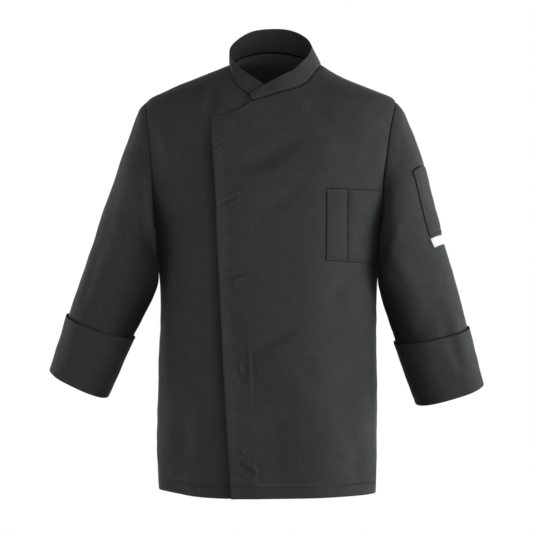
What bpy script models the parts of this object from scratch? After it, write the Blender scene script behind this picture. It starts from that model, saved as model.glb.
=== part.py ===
"""Chef jacket in its worn shape, with nobody in it.

A double-breasted jacket with a stand collar, a hidden press-stud front, a divided chest pocket and
three-quarter sleeves that end in deep turned-back cuffs. Each cut piece is a thin closed wall of its own,
and neighbours stop a hair short of each other at every seam.

Units are metres. +Z is up, -Y is the front and +X is the wearer's left. The origin is the middle of the
neck, level with the tops of the shoulder seams.
"""

import math

import bmesh
import bpy
import numpy as np

# Cloth
WALL = 0.0015
COLLAR_WALL = 0.0018
POCKET_WALL = 0.0010
SEAM_GAP = 0.0003
LAY_GAP = 0.0008
CHEST_POCKET_GAP = 0.0012
LAP_GAP = 0.0016
MITRE_LIMIT = 1.5

# Heights of the main lines
HEM = -0.7588
UNDERARM = -0.2900
SHOULDER_POINT = -0.0620
NECK_POINT = 0.0054

# The inner front runs on under the outer one to this far past the middle.
UNDERLAP_EDGE = 0.0750

# Cuffs
CUFF_DEPTH = 0.1130
CUFF_FOLD = 0.0034
CUFF_GAP_TOP = 0.0030
CUFF_GAP_FOLD = 0.0010

# Grid counts
SIDE_ROWS = 15
ARMHOLE_ROWS = 12
LAP_COLUMNS = 4
FRONT_NECK_COLUMNS = 8
BACK_NECK_COLUMNS = 8
SHOULDER_COLUMNS = 6
COLLAR_ROWS = 4
SLEEVE_ROWS = 20
CUFF_ROWS = 6

QUARTER = math.pi / 2
FRONT, BACK = 1, -1
WEARER_LEFT, WEARER_RIGHT = 1, -1


class Table:
    """Rows of named sizes, read smoothly between its rows and held level past its ends."""

    def __init__(self, columns, *rows):
        self.names = columns.split()
        self.rows = np.array(sorted(rows), float)

    def at(self, column, key):
        keys, values = self.rows[:, 0], self.rows[:, self.names.index(column)]
        slopes = np.gradient(values, keys)
        key = np.clip(key, keys[0], keys[-1])
        i = np.clip(np.searchsorted(keys, key, side="right") - 1, 0, len(keys) - 2)
        step = keys[i + 1] - keys[i]
        t = (key - keys[i]) / step
        rise, run = t * t * (3 - 2 * t), t * (1 - t)
        bend = step * run * ((1 - t) * slopes[i] - t * slopes[i + 1])
        return values[i] + rise * (values[i + 1] - values[i]) + bend

    def first(self):
        return self.rows[0, 0]

    def last(self):
        return self.rows[-1, 0]


# Level sections of the body. half_width runs across, front and back run from the side seam's line,
# centre is where the middle of the section stands, and power squares the section's corners.
BODY = Table(
    "z half_width front back centre power",
    (0.0400, 0.0680, 0.0420, 0.0515, 0.0030, 2.00),
    (0.0315, 0.0715, 0.0430, 0.0550, 0.0045, 2.00),
    (0.0200, 0.0760, 0.0440, 0.0600, 0.0085, 2.00),
    (0.0054, 0.0821, 0.0460, 0.0690, 0.0133, 2.00),
    (0.0000, 0.0918, 0.0520, 0.0740, 0.0108, 2.00),
    (-0.0108, 0.1139, 0.0610, 0.0810, 0.0060, 2.00),
    (-0.0216, 0.1385, 0.0685, 0.0880, 0.0035, 2.05),
    (-0.0324, 0.1655, 0.0745, 0.0940, 0.0035, 2.05),
    (-0.0432, 0.1905, 0.0800, 0.0990, 0.0055, 2.10),
    (-0.0540, 0.2155, 0.0845, 0.1040, 0.0066, 2.10),
    (-0.0620, 0.2240, 0.0880, 0.1070, 0.0055, 2.15),
    (-0.0800, 0.2360, 0.0945, 0.1140, 0.0040, 2.20),
    (-0.1200, 0.2440, 0.1070, 0.1240, 0.0020, 2.25),
    (-0.1600, 0.2430, 0.1180, 0.1300, 0.0010, 2.30),
    (-0.2000, 0.2350, 0.1265, 0.1325, 0.0000, 2.30),
    (-0.2400, 0.2205, 0.1325, 0.1330, 0.0000, 2.35),
    (-0.2700, 0.2065, 0.1355, 0.1320, 0.0000, 2.40),
    (-0.2900, 0.2010, 0.1365, 0.1310, 0.0003, 2.40),
    (-0.3200, 0.2004, 0.1372, 0.1292, 0.0005, 2.40),
    (-0.3500, 0.1986, 0.1375, 0.1270, 0.0007, 2.40),
    (-0.3800, 0.1956, 0.1375, 0.1250, 0.0010, 2.40),
    (-0.4100, 0.1940, 0.1370, 0.1235, 0.0010, 2.40),
    (-0.4700, 0.1943, 0.1355, 0.1215, 0.0006, 2.40),
    (-0.5500, 0.1958, 0.1340, 0.1210, -0.0006, 2.40),
    (-0.6500, 0.1970, 0.1345, 0.1250, -0.0012, 2.35),
    (-0.7700, 0.1940, 0.1370, 0.1290, -0.0012, 2.35),
)

# How far out from the section's centre the armhole seam runs, on the front and on the back.
ARMHOLE = Table(
    "z front back",
    (-0.0620, 0.2240, 0.2240),
    (-0.0750, 0.2212, 0.2212),
    (-0.0890, 0.2185, 0.2180),
    (-0.1070, 0.2155, 0.2145),
    (-0.1260, 0.2130, 0.2115),
    (-0.1460, 0.2105, 0.2085),
    (-0.1850, 0.2055, 0.2040),
    (-0.2200, 0.2030, 0.2025),
    (-0.2550, 0.2016, 0.2015),
    (-0.2750, 0.2012, 0.2012),
    (-0.2900, 0.2010, 0.2010),
)

# How much higher than its middle the hem hangs, from the wearer's right side to the left.
HEM_LINE = Table(
    "across rise",
    (-1.0, 0.0075),
    (-0.7, 0.0020),
    (-0.4, -0.0002),
    (0.0, 0.0000),
    (0.7, 0.0003),
    (1.0, -0.0010),
)

# The neck seam, by turns in degrees: 0 is the middle front, 90 the wearer's left shoulder, 180 the middle
# back and 270 the right shoulder. Its two ends cross in front.
NECK = Table(
    "turn x z",
    (-22, -0.0261, -0.0640),
    (-4, -0.0053, -0.0573),
    (15, 0.0228, -0.0486),
    (39, 0.0514, -0.0393),
    (62, 0.0727, -0.0247),
    (75, 0.0825, -0.0110),
    (90, 0.0954, 0.0054),
    (270, -0.0688, 0.0054),
    (288, -0.0665, -0.0120),
    (300, -0.0615, -0.0265),
    (315, -0.0505, -0.0400),
    (333, -0.0320, -0.0515),
    (352, -0.0060, -0.0595),
    (382, 0.0261, -0.0660),
)
BACK_NECK = Table(
    "turn z",
    (90, 0.0054),
    (110, 0.0115),
    (135, 0.0215),
    (160, 0.0293),
    (180, 0.0315),
    (200, 0.0290),
    (225, 0.0215),
    (250, 0.0115),
    (270, 0.0054),
)

# The collar's free edge, by the same turns. The outer end lies over the inner one.
RIM_CENTRE = 0.0048
RIM_HALF_WIDTH = 0.0742
RIM = Table(
    "turn y z",
    (-30, -0.0872, -0.0515),
    (-8, -0.0822, -0.0349),
    (16, -0.0780, -0.0178),
    (32, -0.0692, -0.0087),
    (47, -0.0550, 0.0055),
    (64, -0.0350, 0.0192),
    (77, -0.0178, 0.0300),
    (90, 0.0000, 0.0362),
    (121, 0.0250, 0.0560),
    (157, 0.0442, 0.0714),
    (180, 0.0480, 0.0728),
    (204, 0.0440, 0.0690),
    (240, 0.0240, 0.0484),
    (270, 0.0000, 0.0290),
    (301, -0.0407, 0.0060),
    (320, -0.0605, -0.0098),
    (337, -0.0722, -0.0234),
    (352, -0.0784, -0.0349),
    (370, -0.0812, -0.0480),
)

# The free edge of the outer front and its upper edge, by the distance past the middle.
LAP_EDGE = Table(
    "z x",
    (-0.0930, 0.0985),
    (-0.1190, 0.0985),
    (-0.1690, 0.0943),
    (-0.2390, 0.0892),
    (-0.3080, 0.0868),
    (-0.4130, 0.0818),
    (-0.5000, 0.0784),
    (-0.5870, 0.0731),
    (-0.6740, 0.0679),
    (-0.7600, 0.0627),
)
LAP_TOP = Table(
    "x z",
    (0.0261, -0.0640),
    (0.0345, -0.0680),
    (0.0410, -0.0745),
    (0.0543, -0.0811),
    (0.0656, -0.0853),
    (0.0767, -0.0897),
    (0.0880, -0.0912),
    (0.0985, -0.0930),
)

# Where the outer front stands clear of the inner one: fully within full of the middle, not at all past none.
LAP_RISE = Table(
    "z full none",
    (-0.1000, 0.0800, 0.1500),
    (-0.0600, 0.0340, 0.0850),
    (-0.0200, 0.0200, 0.0600),
)

# Sleeve rings. outer and inner are the points of the sleeve that lie furthest from the body and nearest to
# it, front and back are its half depths, lean is how far behind the shoulder the ring stands, droop is how
# much lower its front hangs than its sides, turn is how far forward its inner side is swung and its outer
# side back, and power squares its corners.
SLEEVE_COLUMNS = "along outer_x outer_z inner_x inner_z front back lean droop turn power"
SLEEVES = {
    WEARER_LEFT: Table(
        SLEEVE_COLUMNS,
        (0.000, 0.2295, -0.0620, 0.2010, -0.2900, 0.0730, 0.0710, 0.000, 0.000, 0.000, 2.40),
        (0.010, 0.2415, -0.0750, 0.2018, -0.2930, 0.0735, 0.0720, -0.001, 0.000, 0.003, 2.40),
        (0.023, 0.2505, -0.0940, 0.2020, -0.2975, 0.0730, 0.0725, -0.004, 0.000, 0.010, 2.35),
        (0.043, 0.2620, -0.1230, 0.2007, -0.3060, 0.0705, 0.0720, -0.012, 0.000, 0.022, 2.30),
        (0.070, 0.2752, -0.1590, 0.1990, -0.3220, 0.0680, 0.0700, -0.018, 0.000, 0.030, 2.25),
        (0.110, 0.2895, -0.2130, 0.1960, -0.3480, 0.0660, 0.0680, -0.025, 0.000, 0.032, 2.20),
        (0.161, 0.3065, -0.2780, 0.1952, -0.3820, 0.0645, 0.0670, -0.026, 0.001, 0.028, 2.20),
        (0.224, 0.3325, -0.3700, 0.2030, -0.4130, 0.0645, 0.0665, -0.020, 0.003, 0.018, 2.20),
        (0.306, 0.3560, -0.4590, 0.2270, -0.4850, 0.0630, 0.0650, -0.012, 0.005, 0.008, 2.20),
        (0.427, 0.3853, -0.5660, 0.2665, -0.6012, 0.0585, 0.0610, 0.000, 0.006, 0.000, 2.20),
    ),
    WEARER_RIGHT: Table(
        SLEEVE_COLUMNS,
        (0.000, 0.2185, -0.0620, 0.2004, -0.2900, 0.0730, 0.0710, 0.000, 0.000, 0.000, 2.40),
        (0.008, 0.2290, -0.0720, 0.2010, -0.2930, 0.0735, 0.0720, -0.001, 0.000, 0.003, 2.40),
        (0.019, 0.2368, -0.0880, 0.2010, -0.2975, 0.0730, 0.0725, -0.004, 0.000, 0.010, 2.35),
        (0.039, 0.2480, -0.1180, 0.2001, -0.3060, 0.0705, 0.0720, -0.012, 0.000, 0.022, 2.30),
        (0.069, 0.2625, -0.1590, 0.1982, -0.3220, 0.0680, 0.0700, -0.018, 0.000, 0.030, 2.25),
        (0.110, 0.2805, -0.2130, 0.1955, -0.3480, 0.0660, 0.0680, -0.025, 0.000, 0.032, 2.20),
        (0.159, 0.3025, -0.2780, 0.1942, -0.3800, 0.0645, 0.0670, -0.026, 0.001, 0.028, 2.20),
        (0.222, 0.3320, -0.3650, 0.2058, -0.4120, 0.0640, 0.0660, -0.020, 0.003, 0.018, 2.20),
        (0.300, 0.3575, -0.4430, 0.2405, -0.4820, 0.0620, 0.0645, -0.012, 0.005, 0.008, 2.20),
        (0.415, 0.3908, -0.5405, 0.2880, -0.5876, 0.0560, 0.0585, 0.000, 0.006, 0.000, 2.20),
    ),
}
HEAD_FADE = 0.080

# The largest soft folds. A torso fold runs from one end to the other, each an angle round the body in
# degrees (0 at the front, 90 at the wearer's left side) and a height; depth is below or above the cloth.
TORSO_FOLDS = (
    {"ends": ((52, -0.74), (30, -0.40)), "width": 0.030, "depth": -0.0035},
    {"ends": ((8, -0.745), (-14, -0.47)), "width": 0.028, "depth": -0.0040},
    {"ends": ((78, -0.76), (66, -0.42)), "width": 0.022, "depth": 0.0030},
    {"ends": ((-72, -0.76), (-78, -0.60)), "width": 0.028, "depth": 0.0040},
    {"ends": ((-50, -0.765), (-46, -0.38)), "width": 0.030, "depth": -0.0030},
    {"ends": ((112, -0.33), (140, -0.62)), "width": 0.026, "depth": -0.0040},
    {"ends": ((-112, -0.33), (-142, -0.60)), "width": 0.026, "depth": -0.0040},
    {"ends": ((160, -0.76), (165, -0.44)), "width": 0.034, "depth": -0.0040},
    {"ends": ((-158, -0.76), (-166, -0.42)), "width": 0.034, "depth": -0.0040},
)
# A sleeve fold runs between two (angle round the sleeve, distance along it); 0 is its outer side, 90 the front.
SLEEVE_FOLDS = (
    {"ends": ((95, 0.12), (70, 0.33)), "width": 0.018, "depth": -0.0030},
    {"ends": ((150, 0.24), (120, 0.34)), "width": 0.014, "depth": -0.0030},
    {"ends": ((55, 0.28), (60, 0.44)), "width": 0.016, "depth": 0.0020},
    {"ends": ((-70, 0.15), (-110, 0.32)), "width": 0.018, "depth": -0.0035},
    {"ends": ((-130, 0.24), (-100, 0.38)), "width": 0.014, "depth": -0.0030},
)
FOLD_REACH_TORSO = 0.17
FOLD_REACH_SLEEVE = 0.065

# The chest pocket's free corners, and where its outer edge is caught in the armhole and side seams.
POCKET_TOP = (0.1025, -0.2180)
POCKET_FOOT = (0.1005, -0.3430)
POCKET_SEAM = Table(
    "z degrees",
    (-0.2210, 59.0),
    (-0.2400, 63.0),
    (-0.2600, 68.5),
    (-0.2800, 72.5),
    (-0.3000, 73.0),
    (-0.3200, 72.5),
    (-0.3520, 71.5),
)
POCKET_ROWS, POCKET_COLUMNS = 7, 9

# Places on the wearer's left sleeve: corners in distances along it and degrees round it, from the upper front
# corner back, down and forward again.
SLEEVE_POCKET = {
    "corners": ((0.0630, 59.0), (0.0900, 2.0), (0.1745, -2.0), (0.1640, 54.0)),
    "rows": 7,
    "columns": 7,
}
LABEL = {
    "corners": ((0.1676, 54.0), (0.1755, 18.0), (0.1863, 13.0), (0.1805, 51.5)),
    "rows": 2,
    "columns": 4,
}


def smoothstep(low, high, value):
    t = np.clip((value - low) / (high - low), 0.0, 1.0)
    return t * t * (3 - 2 * t)


def unit(vectors):
    return vectors / np.maximum(np.linalg.norm(vectors, axis=-1, keepdims=True), 1e-12)


def signed_power(value, power):
    return np.sign(value) * np.abs(value) ** power


def soft_folds(folds, reach, angle, along):
    """How far the folds lift the cloth. reach turns an angle into a distance across the fold."""
    height = np.zeros(np.broadcast(angle, along).shape)
    here = np.stack(np.broadcast_arrays(angle * reach, along), axis=-1)
    for fold in folds:
        (angle_a, along_a), (angle_b, along_b) = fold["ends"]
        start = np.array([math.radians(angle_a) * reach, along_a])
        run = np.array([math.radians(angle_b) * reach, along_b]) - start
        t = np.clip(((here - start) @ run) / (run @ run), 0.0, 1.0)
        away = np.linalg.norm(here - start - t[..., None] * run, axis=-1)
        height += fold["depth"] * np.exp(-((away / fold["width"]) ** 2))
    return height


# ---- The body's surface. A chart place is (distance round the section from the middle, height).


def body_point(angle, z):
    """A point of the smooth body: angle 0 is the middle front, a quarter turn the wearer's left side."""
    power = 2 / BODY.at("power", z)
    across, forward = np.sin(angle), np.cos(angle)
    depth = np.where(forward >= 0, BODY.at("front", z), BODY.at("back", z))
    x = BODY.at("centre", z) + BODY.at("half_width", z) * signed_power(across, power)
    return np.stack(np.broadcast_arrays(x, -depth * signed_power(forward, power), z), axis=-1)


def body_level(point):
    """1 on the body's surface, less inside it and more outside."""
    x, y, z = np.moveaxis(point, -1, 0)
    power = BODY.at("power", z)
    depth = np.where(y <= 0, BODY.at("front", z), BODY.at("back", z))
    across = np.abs(x - BODY.at("centre", z)) / BODY.at("half_width", z)
    return across**power + (np.abs(y) / depth) ** power


def body_normal(point):
    step = 0.0005 * np.eye(3)
    return unit(np.stack([body_level(point + s) - body_level(point - s) for s in step], axis=-1))


def section(z, face):
    """Turns from the section's middle to its side, and the distance round the section at each."""
    turn = np.linspace(0.0, QUARTER, 65)
    points = body_point(turn if face == FRONT else math.pi - turn, np.full(turn.shape, z))
    steps = np.linalg.norm(np.diff(points, axis=0), axis=1)
    return turn, np.concatenate([[0.0], np.cumsum(steps)])


def chart_at(x, z, face):
    """The chart place of the body's surface x across and z up."""
    share = (x - BODY.at("centre", z)) / BODY.at("half_width", z)
    turn = np.arcsin(np.clip(np.abs(share), 0.0, 1.0) ** (BODY.at("power", z) / 2))
    arc = [np.interp(t, *section(height, face)) for t, height in zip(turn, z)]
    return np.stack([np.sign(share) * arc, z], axis=-1)


def side_chart(side, face, z):
    """The chart places of the body's side line, which carries the side and the shoulder seams."""
    return np.stack([[side * section(height, face)[1][-1] for height in z], z], axis=-1)


def angle_of(chart, face):
    turns = np.empty(chart.shape[:-1])
    for place in np.ndindex(turns.shape):
        turn, arc = section(chart[place][1], face)
        turns[place] = np.interp(abs(chart[place][0]), arc, turn)
    side = np.where(chart[..., 0] < 0, -1.0, 1.0)
    return side * (turns if face == FRONT else math.pi - turns)


def lap_rise(point):
    """How far the outer front stands off the body, to pass over the inner one."""
    x, _, z = np.moveaxis(point, -1, 0)
    full, none = LAP_RISE.at("full", z), LAP_RISE.at("none", z)
    return (WALL + LAP_GAP) * (1 - smoothstep(0.0, 1.0, (x - full) / (none - full)))


def on_body(chart, face, outer_front=False):
    """Points and normals of the draped cloth at chart places."""
    angle, z = angle_of(chart, face), chart[..., 1]
    point = body_point(angle, z)
    normal = body_normal(point)
    lift = soft_folds(TORSO_FOLDS, FOLD_REACH_TORSO, angle, z)
    if outer_front:
        lift = lift + lap_rise(point)
    return point + normal * lift[..., None], normal


def armhole_chart(side, around):
    """The armhole seam. around is 0 at the shoulder, a half turn at the underarm and less between on the front."""
    face = FRONT if np.sin(around).sum() > 0 else BACK
    middle, half = (SHOULDER_POINT + UNDERARM) / 2, (SHOULDER_POINT - UNDERARM) / 2
    z = middle + half * np.cos(around)
    x = BODY.at("centre", z) + side * ARMHOLE.at("front" if face == FRONT else "back", z)
    at_end = np.isclose(np.abs(np.cos(around)), 1.0)
    return np.where(at_end[:, None], side_chart(side, face, z), chart_at(x, z, face))


def neck_chart(turns, face):
    """The neck seam at these turns, in degrees."""
    if face == BACK:
        z = BACK_NECK.at("z", turns)
        arc = [np.interp(abs(math.radians(180 - turn)), *section(height, BACK)) for turn, height in zip(turns, z)]
        return np.stack([np.sign(180 - turns) * arc, z], axis=-1)
    z = NECK.at("z", turns)
    chart = chart_at(NECK.at("x", turns), z, face)
    for turn, side in ((90, WEARER_LEFT), (270, WEARER_RIGHT)):
        at_end = np.isclose(turns, turn)
        chart[at_end] = side_chart(side, face, z)[at_end]
    return chart


def even(chart, face, count):
    """The same chart line in count equal stretches, measured on the body."""
    points = body_point(angle_of(chart, face), chart[:, 1])
    along = np.concatenate([[0], np.cumsum(np.linalg.norm(np.diff(points, axis=0), axis=1))])
    at = np.linspace(0, along[-1], count + 1)
    return np.stack([np.interp(at, along, chart[:, k]) for k in range(2)], axis=-1)


def straight(start, end, count):
    return np.linspace(np.array(start, float), np.array(end, float), count + 1)


def patch(bottom, top, left, right):
    """Fills four chart lines with a grid of rows from bottom to top (a Coons patch)."""
    v, u = np.meshgrid(np.linspace(0, 1, len(left)), np.linspace(0, 1, len(bottom)), indexing="ij")
    u, v = u[..., None], v[..., None]
    ruled = (1 - v) * bottom[None] + v * top[None] + (1 - u) * left[:, None] + u * right[:, None]
    corners = (1 - u) * (1 - v) * bottom[0] + u * (1 - v) * bottom[-1]
    return ruled - corners - (1 - u) * v * top[0] - u * v * top[-1]


# ---- The sleeve's surface, by distance along it and angle round it


def sleeve_length(side):
    return SLEEVES[side].last()


def sleeve_ring(side, along, around):
    rings = SLEEVES[side]
    ring = {name: rings.at(name, along) for name in rings.names[1:]}
    outward = signed_power(np.cos(around), 2 / ring["power"])
    forward = signed_power(np.sin(around), 2 / ring["power"])
    depth = np.where(forward >= 0, ring["front"], ring["back"])
    x = (ring["outer_x"] + ring["inner_x"]) / 2 + (ring["outer_x"] - ring["inner_x"]) / 2 * outward
    z = (ring["outer_z"] + ring["inner_z"]) / 2 + (ring["outer_z"] - ring["inner_z"]) / 2 * outward
    y = ring["lean"] - depth * forward + ring["turn"] * outward
    return np.stack(np.broadcast_arrays(side * x, y, z - ring["droop"] * forward), axis=-1)


def armhole_points(side, around):
    """The armhole seam's points and the body's normals there, all the way round."""
    turned = np.atleast_1d((around + 1e-9) % (2 * math.pi) - 1e-9)
    points, normals = np.empty((2, *turned.shape, 3))
    for face, here in ((FRONT, turned <= math.pi + 1e-6), (BACK, turned > math.pi + 1e-6)):
        if here.any():
            points[here], normals[here] = on_body(armhole_chart(side, turned[here]), face)
    return points, normals


def sleeve_smooth(side, along, around):
    """The sleeve without its folds: it leaves the armhole seam and eases into its own rings."""
    seam, _ = armhole_points(side, around)
    rest = 1 - smoothstep(0.0, HEAD_FADE, along)
    return sleeve_ring(side, along, around) + (seam - sleeve_ring(side, 0.0, around)) * rest[..., None]


def sleeve_normal(side, along, around):
    step_along, step_around = 0.001, 0.01
    back, on = np.maximum(along - step_along, 0.0), along + step_along
    down = sleeve_smooth(side, on, around) - sleeve_smooth(side, back, around)
    across = sleeve_smooth(side, along, around + step_around) - sleeve_smooth(side, along, around - step_around)
    return unit(side * np.cross(across, down))


def on_sleeve(side, along, around, offset=0.0):
    point = sleeve_smooth(side, along, around)
    normal = sleeve_normal(side, along, around)
    turned = (around + math.pi) % (2 * math.pi) - math.pi
    lift = soft_folds(SLEEVE_FOLDS, FOLD_REACH_SLEEVE, turned, along)
    lift = lift * smoothstep(0.02, 0.10, along) + offset
    return point + normal * lift[..., None], normal


# ---- Seams: both neighbours end on one mitred face, half a seam gap to each side of it


def seam_frame(points, normal_a, normal_b, towards_b, closed=False):
    """The way through the cloth at the seam, as long as its mitre is, and the way across it from a to b."""
    if closed:
        along = np.roll(points, -1, axis=0) - np.roll(points, 1, axis=0)
    else:
        along = np.gradient(points, axis=0)
    through = unit(normal_a + normal_b)
    across = unit(np.cross(unit(along), through))
    across = across * np.sign((across * towards_b).sum(-1, keepdims=True))
    cosine = (through * normal_a).sum(-1, keepdims=True)
    return through * np.minimum(1 / np.maximum(cosine, 0.2), MITRE_LIMIT), across


def new_material(name, colour, roughness):
    material = bpy.data.materials.new(name)
    material.use_nodes = True
    shader = material.node_tree.nodes["Principled BSDF"]
    shader.inputs["Base Color"].default_value = (*colour, 1.0)
    shader.inputs["Roughness"].default_value = roughness
    shader.inputs["Metallic"].default_value = 0.0
    return material


def add_wall(name, outer, inner, material, round_columns=False, round_rows=False):
    """A closed wall between two grids of points. A tube's columns, or a looped profile's rows, run round."""
    mesh = bmesh.new()
    rows, columns = outer.shape[:2]

    def skin(grid):
        return [[mesh.verts.new(point) for point in row] for row in grid]

    def cells(count, runs_round):
        return [(i, (i + 1) % count) for i in range(count if runs_round else count - 1)]

    def quad(*corners):
        mesh.faces.new(corners)

    a = skin(outer)
    for r, s in cells(rows, round_rows):
        for c, d in cells(columns, round_columns):
            quad(a[r][c], a[r][d], a[s][d], a[s][c])
    if inner is not None:
        b = skin(inner)
        for r, s in cells(rows, round_rows):
            for c, d in cells(columns, round_columns):
                quad(b[r][c], b[s][c], b[s][d], b[r][d])
        for c, d in cells(columns, round_columns):
            quad(a[0][d], a[0][c], b[0][c], b[0][d])
            quad(a[-1][c], a[-1][d], b[-1][d], b[-1][c])
        if not round_columns:
            for r, s in cells(rows, round_rows):
                quad(a[r][0], a[s][0], b[s][0], b[r][0])
                quad(a[s][-1], a[r][-1], b[r][-1], b[s][-1])
    bmesh.ops.recalc_face_normals(mesh, faces=mesh.faces)
    data = bpy.data.meshes.new(name)
    mesh.to_mesh(data)
    mesh.free()
    data.materials.append(material)
    data.shade_smooth()
    data.set_sharp_from_angle(angle=math.radians(50))
    piece = bpy.data.objects.new(name, data)
    bpy.context.scene.collection.objects.link(piece)
    return piece


# ---- The neck seam, shared by both fronts, the back and the collar


def neck_turns():
    """Turns of the seam's stations on the left front, the back from its left to its right, and the right front."""
    left = np.linspace(NECK.first(), 90, FRONT_NECK_COLUMNS + 1)
    back = np.linspace(90, 270, 2 * BACK_NECK_COLUMNS + 1)
    right = np.linspace(270, NECK.last(), FRONT_NECK_COLUMNS + 1)
    return left, back, right


def rim_points(turns):
    """The collar's free edge at the seam's turns. Its ends are cut back a little."""
    turns = np.interp(turns, (NECK.first(), 15, 345, NECK.last()), (RIM.first(), 15, 345, RIM.last()))
    x = RIM_CENTRE + RIM_HALF_WIDTH * np.sin(np.radians(turns))
    return np.stack([x, RIM.at("y", turns), RIM.at("z", turns)], axis=-1)


def neck_seam():
    """Stations of the whole seam from the outer end to the inner one: points, through, across, rim and spans."""
    left, back, right = neck_turns()
    pieces = [
        on_body(neck_chart(left, FRONT), FRONT, outer_front=True),
        on_body(neck_chart(back, BACK), BACK),
        on_body(neck_chart(right, FRONT), FRONT),
    ]
    turns = np.concatenate([left, back[1:], right[1:]])
    points = np.concatenate([pieces[0][0], pieces[1][0][1:], pieces[2][0][1:]])
    normals = np.concatenate([pieces[0][1], pieces[1][1][1:], pieces[2][1][1:]])
    rim = rim_points(turns)
    up = unit(rim - points)
    collar = np.cross(np.gradient(points, axis=0), up)
    collar = unit(collar * np.sign((collar * normals).sum(-1, keepdims=True)))
    through, across = seam_frame(points, normals, collar, up)
    first, last = len(left) - 1, len(left) + len(back) - 2
    spans = {"left": slice(0, first + 1), "back": slice(first, last + 1), "right": slice(last, len(turns))}
    return {"points": points, "through": through, "across": across, "rim": rim, "spans": spans}


# ---- The body panels


def armhole_frame(side, around):
    points, body = armhole_points(side, around)
    sleeve = sleeve_normal(side, np.full(around.shape, 0.004), around)
    outward = sleeve_smooth(side, np.full(around.shape, 0.012), around) - points
    return points, *seam_frame(points, body, sleeve, outward, closed=True)


def finish_panel(chart, face, seams, outer_front=False):
    """Outer and inner grids of a body panel. Each seam gives an edge of the grid its mitre and its gap."""
    angle = angle_of(chart, face)
    chart = chart.copy()
    near_hem = 1 - smoothstep(0.0, 0.25, chart[..., 1] - HEM)
    chart[..., 1] += HEM_LINE.at("rise", np.sin(angle)) * near_hem
    outer, normal = on_body(chart, face, outer_front)
    through, shift = normal * WALL, np.zeros_like(outer)
    for edge, direction, across in seams:
        if direction is not None:
            through[edge] = direction * WALL
        shift[edge] -= across * SEAM_GAP / 2
    outer = outer + shift
    return outer, outer - through


def side_and_armhole(side, face):
    """The panel's outer edge in the chart, from the hem up the side seam and round half the armhole."""
    around = (math.pi - np.linspace(0, math.pi, ARMHOLE_ROWS + 1)) * face
    seam = side_chart(side, face, np.linspace(HEM, UNDERARM, SIDE_ROWS + 1))
    return np.concatenate([seam[:-1], armhole_chart(side, around)])


def shoulder_line(side, face):
    fine = side_chart(side, face, np.linspace(NECK_POINT, SHOULDER_POINT, 60))
    return even(fine, face, SHOULDER_COLUMNS)


def outer_seams(side, face, chart):
    """Mitres and gaps of the side seam and armhole on the grid's last column, and of the shoulder on its last row."""
    towards_other = np.array([0.0, face, 0.0])
    side_points, side_normals = on_body(chart[: SIDE_ROWS + 1, -1], face)
    _, side_across = seam_frame(side_points, side_normals, side_normals, towards_other)
    points, normals = on_body(chart[-1, -SHOULDER_COLUMNS - 1 :], face)
    _, shoulder_across = seam_frame(points, normals, normals, towards_other)
    loop = np.linspace(0, 2 * math.pi, 2 * ARMHOLE_ROWS, endpoint=False)
    _, arm_through, arm_across = armhole_frame(side, loop)
    half = (ARMHOLE_ROWS - np.arange(ARMHOLE_ROWS + 1)) * face
    return [
        ((slice(0, SIDE_ROWS + 1), -1), None, side_across),
        ((slice(SIDE_ROWS, None), -1), arm_through[half], arm_across[half]),
        ((-1, slice(-SHOULDER_COLUMNS - 1, None)), None, shoulder_across),
    ]


def front_lap(side):
    """The free edge and the upper edge of a front, in the chart, on the far side of the middle."""
    neck_x = NECK.rows[0 if side == WEARER_LEFT else -1]
    if side == WEARER_LEFT:
        top_x = np.linspace(LAP_TOP.last(), LAP_TOP.first(), 60)
        top_z = LAP_TOP.at("z", top_x)
    else:
        top_x = np.linspace(UNDERLAP_EDGE, neck_x[1], 20)
        top_z = np.linspace(-0.0960, neck_x[2], 20)
    z = np.linspace(HEM, top_z[0], SIDE_ROWS + ARMHOLE_ROWS + 1)
    x = LAP_EDGE.at("x", z) if side == WEARER_LEFT else np.full_like(z, UNDERLAP_EDGE)
    edge = chart_at(-side * x, z, FRONT)
    return edge, even(chart_at(-side * top_x, top_z, FRONT), FRONT, LAP_COLUMNS)


def make_front(name, side, neck, material):
    edge, lap_top = front_lap(side)
    turns = neck_turns()[0] if side == WEARER_LEFT else neck_turns()[2][::-1]
    span = neck["spans"]["left" if side == WEARER_LEFT else "right"]
    step = 1 if side == WEARER_LEFT else -1
    seam_chart = neck_chart(turns, FRONT)
    top = np.concatenate([lap_top[:-1], seam_chart[:-1], shoulder_line(side, FRONT)])
    outer_edge = side_and_armhole(side, FRONT)
    hem = straight(edge[0], outer_edge[0], len(top) - 1)
    chart = patch(hem, top, edge, outer_edge)
    neck_at = slice(LAP_COLUMNS, LAP_COLUMNS + FRONT_NECK_COLUMNS + 1)
    seams = outer_seams(side, FRONT, chart)
    seams.append(((-1, neck_at), neck["through"][span][::step], neck["across"][span][::step]))
    return add_wall(name, *finish_panel(chart, FRONT, seams, side == WEARER_LEFT), material)


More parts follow.
